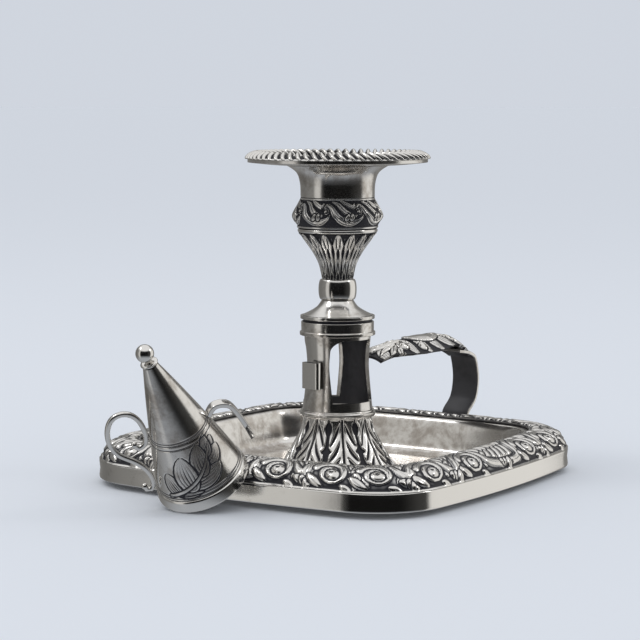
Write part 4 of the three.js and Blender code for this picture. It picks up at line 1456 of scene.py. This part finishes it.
def engraved_lobe(x, y, base, heading, size, width, bend):
    """An engraved lobe: its cut outline and veins, and where it lies."""
    share, side, _ = strip_field(x, y, lobe(base, heading, size, width, bend))
    cut = np.exp(-(((share - 1) * width / 0.28) ** 2))
    fade = np.clip(1.3 - 1.3 * np.hypot(x - base[0], y - base[1]) / size, 0, 1)
    for vein in (-0.6, -0.3, 0.0, 0.3, 0.6):
        line = np.exp(-(((side - vein) * width / 0.17) ** 2)) * (share < 1)
        cut = np.maximum(cut, (0.8 if vein == 0 else 0.6) * fade * line)
    return np.clip(cut, 0, 1), share < 1.05


class CANDLESTICK_OT_extinguisher(bpy.types.Operator):
    """Makes the engraved cone with its ball, scroll handle and hook"""

    bl_idname = "candlestick.extinguisher"
    bl_label = "Extinguisher"

    def execute(self, context):
        settings = context.scene.candlestick_extinguisher
        cone = Cone(settings)
        self.shell(cone)
        self.band(cone)
        self.finial(cone)
        self.scroll(cone, settings)
        self.hook(cone)
        return {"FINISHED"}

    def engraving(self, angle, z):
        """Cut depth and matting over the cone."""
        x = ((angle - FACE_TURN + math.pi) % (2 * math.pi) - math.pi) * 10.6
        cut = np.zeros_like(x)
        matt = np.zeros_like(x)
        lobes = (
            ((-7.2, 6.9), -10, 7.0, 1.9, 0.3),
            ((4.8, 16.2), 34, 5.0, 1.7, 0.2),
            ((2.0, 12.8), 14, 7.6, 2.6, 0.5),
            ((-2.6, 8.8), 2, 9.2, 2.9, 0.5),
            ((-7.0, 7.0), 124, 6.4, 2.5, -0.4),
            ((4.6, 15.8), 80, 5.6, 1.9, -0.3),
            ((1.0, 11.6), 90, 8.4, 2.8, -0.4),
            ((-3.2, 8.4), 106, 9.6, 3.3, -0.5),
        )
        for base, heading, size, width, bend in lobes:
            line, face = engraved_lobe(x, z, base, heading, size, width, bend)
            cut = np.where(face, line, np.maximum(cut, line))
            matt = np.where(face, 0.3, matt)
        stem = spline([[-9.6, 5.6, 0.7], [-4.6, 7.6, 0.6], [0.4, 11.2, 0.5], [6.4, 18.4, 0.2]], 20)
        share = strip_field(x, z, stem)[0]
        cut = np.where(share < 1, 0.0, cut)
        cut = np.maximum(cut, 0.9 * np.exp(-(((share - 1) / 0.35) ** 2)))
        for level in (20.6, 21.9, 22.6, 4.7, 5.5):
            cut = np.maximum(cut, 0.85 * np.exp(-(((z - level) / 0.2) ** 2)))
        return cut, matt

    def shell(self, cone):
        z_low = np.linspace(4.1, 23.2, 104)
        z_high = np.linspace(23.4, cone.height, 40)
        z = np.concatenate([z_low, z_high])
        steps = 460
        angle = np.arange(steps) * 2 * math.pi / steps
        a, h = np.meshgrid(angle, z, indexing="ij")
        cut, matt = self.engraving(a, h)
        r = cone.radius(h) - 0.16 * cut
        outer = np.stack([r * np.cos(a), r * np.sin(a), h], 2)
        cap = np.linspace(cone.tip, 0, 5)
        inner_z = np.linspace(cone.height - 1.2, 4.1, 12)

        def ring(radius, level):
            return np.c_[radius * np.cos(angle), radius * np.sin(angle), np.full(steps, level)]

        rows = [outer]
        rows += [ring(radius, cone.height)[:, None] for radius in cap]
        rows += [ring(0.0, cone.height - 0.9)[:, None]]
        rows += [ring(cone.radius(level) - 0.9, level)[:, None] for level in inner_z]
        points = np.concatenate(rows, 1)
        # Inside the cone gets 0.6: painted shade; the outside takes the engraving's cuts and matting.
        depth = np.full(points.shape[:2], 0.6)
        depth[:, : len(z)] = np.clip(0.75 * cut + 0.62 * matt, 0, 1)
        depth[:, len(z) : len(z) + len(cap)] = 0
        made = sheet_object("cone_shell", points, True, True, depth)
        seal(place(made, cone.place), crease=60)
        hold(made, "extinguisher_cone", "extinguisher", SLOT[BRIGHT], WORN)

    def band(self, cone):
        m = cone.mouth
        outline = [[m - 1.2, 0], [m - 0.3, 0], [m, 0.4], [m - 0.5, 3.4], [m - 0.9, 3.8]]
        outline += [[m - 1.8, 3.8]]
        made = turned_piece("cone_band", outline, 0.25)
        place(made, cone.place)
        hold(made, "extinguisher_band", "extinguisher", SLOT[BRIGHT], BRIGHT)

    def finial(self, cone):
        z0, z1 = cone.collar_foot, cone.collar_top
        outline = [[0, z0], [2.2, z0], [2.7, z0 + 0.35], [2.7, z1 - 0.3], [2.0, z1], [0, z1]]
        made = turned_piece("ball_collar", outline, 0.25, 72, True)
        place(made, cone.place)
        hold(made, "finial_collar", "extinguisher", SLOT[BRIGHT], BRIGHT)
        t = np.linspace(0, math.pi, 29)
        ball = np.c_[cone.ball * np.sin(t), cone.ball_z - cone.ball * np.cos(t)]
        made = turned_piece("ball", ball, 0.0, 64, True)
        place(made, cone.place)
        hold(made, "finial_ball", "extinguisher", SLOT[BRIGHT], BRIGHT)

    def scroll(self, cone, settings):
        wire, reach = settings.wire / MM, SCROLL_REACH
        top, foot = cone.height * 0.735, cone.height * 0.18
        upper = cone.radius(cone.height * 0.55) + GAP
        lower = cone.radius(foot + 0.8) + GAP
        path = fair_curve(
            [
                [lower + 3.3, foot - 0.9],
                [lower + 3.1, foot - 1.9],
                [lower + 3.1, foot - 2.2],
                [lower + 2.7, foot - 2.1],
                [lower + 2.2, foot - 1.6],
                [lower + 1.9, foot - 0.4],
                [lower + 1.8, foot + 1.9],
                [lower + 2.3, foot + 4.4],
                [lower + 3.7, foot + 7.4],
                [reach - 3.1, top - 15.5],
                [reach - 1.0, top - 12.5],
                [reach, top - 8.9],
                [reach - 0.2, top - 5.2],
                [reach - 1.5, top - 1.7],
                [reach - 4.2, top + 1.1],
                [upper + 4.7, top + 1.3],
                [upper + 1.7, top - 1.2],
                [upper + 0.5, top - 4.5],
                [upper + 0.3, top - 7.2],
                [upper + 0.5, top - 9.6],
                [upper + 1.2, top - 11.8],
                [upper + 2.6, top - 13.4],
                [upper + 5.4, top - 13.6],
                [upper + 6.4, top - 11.5],
            ],
            150,
        )
        points, _ = swept_strip(path, wire, wire, wire * 0.45)
        made = seal(sheet_object("scroll_wire", points, False, True), fill=True)
        middle = points.mean(1)
        t = np.linspace(0, math.pi, 15)
        ball = wire * 0.62 * np.c_[np.sin(t), -np.cos(t)]
        for end in (middle[0], middle[-1]):
            drop = seal(sheet_object("scroll_end", turned(ball, 24) + end, True, False))
            made = joined(made, drop)
        place(made, Matrix.Rotation(FITTINGS_TURN, 4, "Z"))
        place(made, cone.place)
        hold(made, "scroll_handle", "extinguisher", SLOT[BRIGHT], BRIGHT)

    def hook(self, cone):
        thick, stand = 1.5, 5.2
        root, tip = cone.height * 0.46, cone.height * 0.14
        tip_out = cone.radius(tip) + stand
        bend = cone.radius(root) + stand + 1.3
        path = spline(
            [
                [cone.radius(root) + 0.5, root - 0.4],
                [cone.radius(root) + 2.6, root + 1.4],
                [bend - 1.4, root + 2.4 - thick],
                [bend + 0.3, root - 1.2],
                [(bend + tip_out) / 2 + 0.4, (root + tip) / 2],
                [tip_out, tip],
            ],
            80,
        )
        taper = 1 - 0.86 * np.clip((tip + 6 - path[:, 1]) / 6, 0, 1)
        points, _ = swept_strip(path, 3, thick, 0.3, taper)
        made = sheet_object("hook_blade", points, False, True)
        place(made, Matrix.Rotation(FITTINGS_TURN + math.pi, 4, "Z"))
        seal(place(made, cone.place), fill=True)
        hold(made, "hook", "extinguisher", SLOT[BRIGHT], BRIGHT)


# ---- stage ---------------------------------------------------------------------------------------


class CANDLESTICK_OT_stage(bpy.types.Operator):
    """Makes the floor, the studio light and the camera"""

    bl_idname = "candlestick.stage"
    bl_label = "Stage"

    def execute(self, context):
        settings = context.scene.candlestick_stage
        context.scene.view_settings.view_transform = "Standard"
        self.camera(context, settings)
        self.floor(settings)
        self.world(context)
        self.lamps()
        return {"FINISHED"}

    def camera(self, context, settings):
        data = bpy.data.cameras.new("camera")
        data.lens, data.sensor_width = settings.lens, 36
        data.clip_start, data.clip_end = 0.02, 200
        camera = bpy.data.objects.new("camera", data)
        turn = Matrix.Rotation(CAMERA_HEADING, 4, "Z")
        camera.location = turn @ Vector((-settings.aside, -settings.distance, settings.height))
        camera.rotation_euler = (math.pi / 2 - settings.tilt, 0, CAMERA_HEADING)
        context.scene.collection.objects.link(camera)
        context.scene.camera = camera

    def floor(self, settings):
        mesh = bpy.data.meshes.new("floor")
        bm = bmesh.new()
        bmesh.ops.create_circle(bm, cap_ends=True, radius=90, segments=96)
        bm.to_mesh(mesh)
        bm.free()
        floor = bpy.data.objects.new("floor", mesh)
        bpy.context.scene.collection.objects.link(floor)
        material = bpy.data.materials.new("Pale Table")
        material.use_nodes = True
        tree = material.node_tree
        shader = tree.nodes["Principled BSDF"]
        shader.inputs["Base Color"].default_value = tuple(settings.floor)
        shader.inputs["Roughness"].default_value = 0.6
        shader.inputs["Specular IOR Level"].default_value = 0.0
        mesh.materials.append(material)
        floor.visible_glossy = False

    def world(self, context):
        """Pale all round for the floor; for reflections, a dark room with bright screens."""
        world = bpy.data.worlds.new("Studio")
        context.scene.world = world
        world.use_nodes = True
        tree = world.node_tree
        tree.nodes.clear()
        new, link = tree.nodes.new, tree.links.new
        where = new("ShaderNodeTexCoord").outputs["Generated"]
        turn = new("ShaderNodeVectorRotate")
        turn.rotation_type = "Z_AXIS"
        # +Y of the turned frame looks from the object back to the camera
        turn.inputs["Angle"].default_value = -CAMERA_HEADING + math.pi
        link(where, turn.inputs["Vector"])
        split = new("ShaderNodeSeparateXYZ")
        link(turn.outputs[0], split.inputs[0])
        across, ahead, up = split.outputs
        bearing = math_node(tree, "ARCTAN2", across, ahead)
        around = math_node(tree, "ADD", math_node(tree, "DIVIDE", bearing, 2 * math.pi), 0.5)
        ramp = new("ShaderNodeValToRGB")
        ramp.color_ramp.interpolation = "EASE"
        # bearing from the camera's side, in degrees, and how bright that side of the room is
        sides = (
            (-180, 0.24),
            (-140, 0.22),
            (-128, 0.84),
            (-88, 0.80),
            (-78, 0.05),
            (-30, 0.006),
            (40, 0.006),
            (50, 0.05),
            (58, 0.62),
            (72, 0.60),
            (82, 0.22),
            (130, 0.17),
            (180, 0.24),
        )
        stops = ramp.color_ramp.elements
        while len(stops) < len(sides):
            stops.new(0.5)
        for stop, (degrees, value) in zip(stops, sides):
            stop.position = degrees / 360 + 0.5
            stop.color = (value, value * 0.985, value * 0.95, 1)
        link(around, ramp.inputs[0])
        overhead = ranged(tree, up, 0.42, 0.72)
        room = mixed(tree, overhead, ramp.outputs[0], (0.86, 0.86, 0.86, 1))
        table = ranged(tree, up, -0.26, -0.85)
        room = mixed(tree, table, room, (0.40, 0.42, 0.45, 1))
        pale, mirrored, seen = (new("ShaderNodeBackground") for _ in range(3))
        pale.inputs["Color"].default_value = (0.776, 0.795, 0.834, 1)
        seen.inputs["Color"].default_value = (0.63, 0.668, 0.734, 1)
        link(room, mirrored.inputs["Color"])
        path, out = new("ShaderNodeLightPath"), new("ShaderNodeOutputWorld")
        inner, outer = new("ShaderNodeMixShader"), new("ShaderNodeMixShader")
        link(path.outputs["Is Glossy Ray"], inner.inputs[0])
        link(pale.outputs[0], inner.inputs[1])
        link(mirrored.outputs[0], inner.inputs[2])
        link(path.outputs["Is Camera Ray"], outer.inputs[0])
        link(inner.outputs[0], outer.inputs[1])
        link(seen.outputs[0], outer.inputs[2])
        link(outer.outputs[0], out.inputs["Surface"])

    def lamps(self):
        for name, spot, size, watts in (
            ("key_lamp", (-0.55, 0.65, 1.1), 0.3, 1.6),
            ("side_lamp", (0.55, -0.9, 0.8), 0.2, 0.7),
        ):
            data = bpy.data.lights.new(name, "AREA")
            data.shape, data.size, data.energy = "SQUARE", size, watts
            lamp = bpy.data.objects.new(name, data)
            lamp.location = spot
            aim = Vector((0, 0, 0.04)) - Vector(spot)
            lamp.rotation_euler = aim.to_track_quat("-Z", "Y").to_euler()
            bpy.context.scene.collection.objects.link(lamp)


# ---- add-on --------------------------------------------------------------------------------------

GROUPS = {
    "candlestick_finish": FinishSettings,
    "candlestick_tray": TraySettings,
    "candlestick_column": ColumnSettings,
    "candlestick_nozzle": NozzleSettings,
    "candlestick_handle": HandleSettings,
    "candlestick_extinguisher": ExtinguisherSettings,
    "candlestick_stage": StageSettings,
}
OPERATORS = (
    CANDLESTICK_OT_finishes,
    CANDLESTICK_OT_stage,
    CANDLESTICK_OT_tray,
    CANDLESTICK_OT_column,
    CANDLESTICK_OT_nozzle,
    CANDLESTICK_OT_handle,
    CANDLESTICK_OT_extinguisher,
)


class CANDLESTICK_PT_sidebar(bpy.types.Panel):
    """Lists the candlestick's settings and the buttons that make its pieces"""

    bl_label = "Candlestick"
    bl_space_type = "VIEW_3D"
    bl_region_type = "UI"
    bl_category = "Candlestick"

    def draw(self, context):
        for name, group in GROUPS.items():
            box = self.layout.box()
            box.label(text=group.__doc__)
            for field in group.__annotations__:
                box.prop(getattr(context.scene, name), field)
        for operator in OPERATORS:
            self.layout.operator(operator.bl_idname)


def register():
    for name, group in GROUPS.items():
        bpy.utils.register_class(group)
        setattr(bpy.types.Scene, name, bpy.props.PointerProperty(type=group))
    for operator in OPERATORS:
        bpy.utils.register_class(operator)
    bpy.utils.register_class(CANDLESTICK_PT_sidebar)


def unregister():
    bpy.utils.unregister_class(CANDLESTICK_PT_sidebar)
    for operator in reversed(OPERATORS):
        bpy.utils.unregister_class(operator)
    for name, group in GROUPS.items():
        delattr(bpy.types.Scene, name)
        bpy.utils.unregister_class(group)


def main():
    register()
    bpy.ops.candlestick.finishes()
    bpy.ops.candlestick.stage()
    bpy.ops.candlestick.tray()
    bpy.ops.candlestick.column()
    bpy.ops.candlestick.nozzle()
    bpy.ops.candlestick.handle()
    bpy.ops.candlestick.extinguisher()


if __name__ == "__main__":
    main()
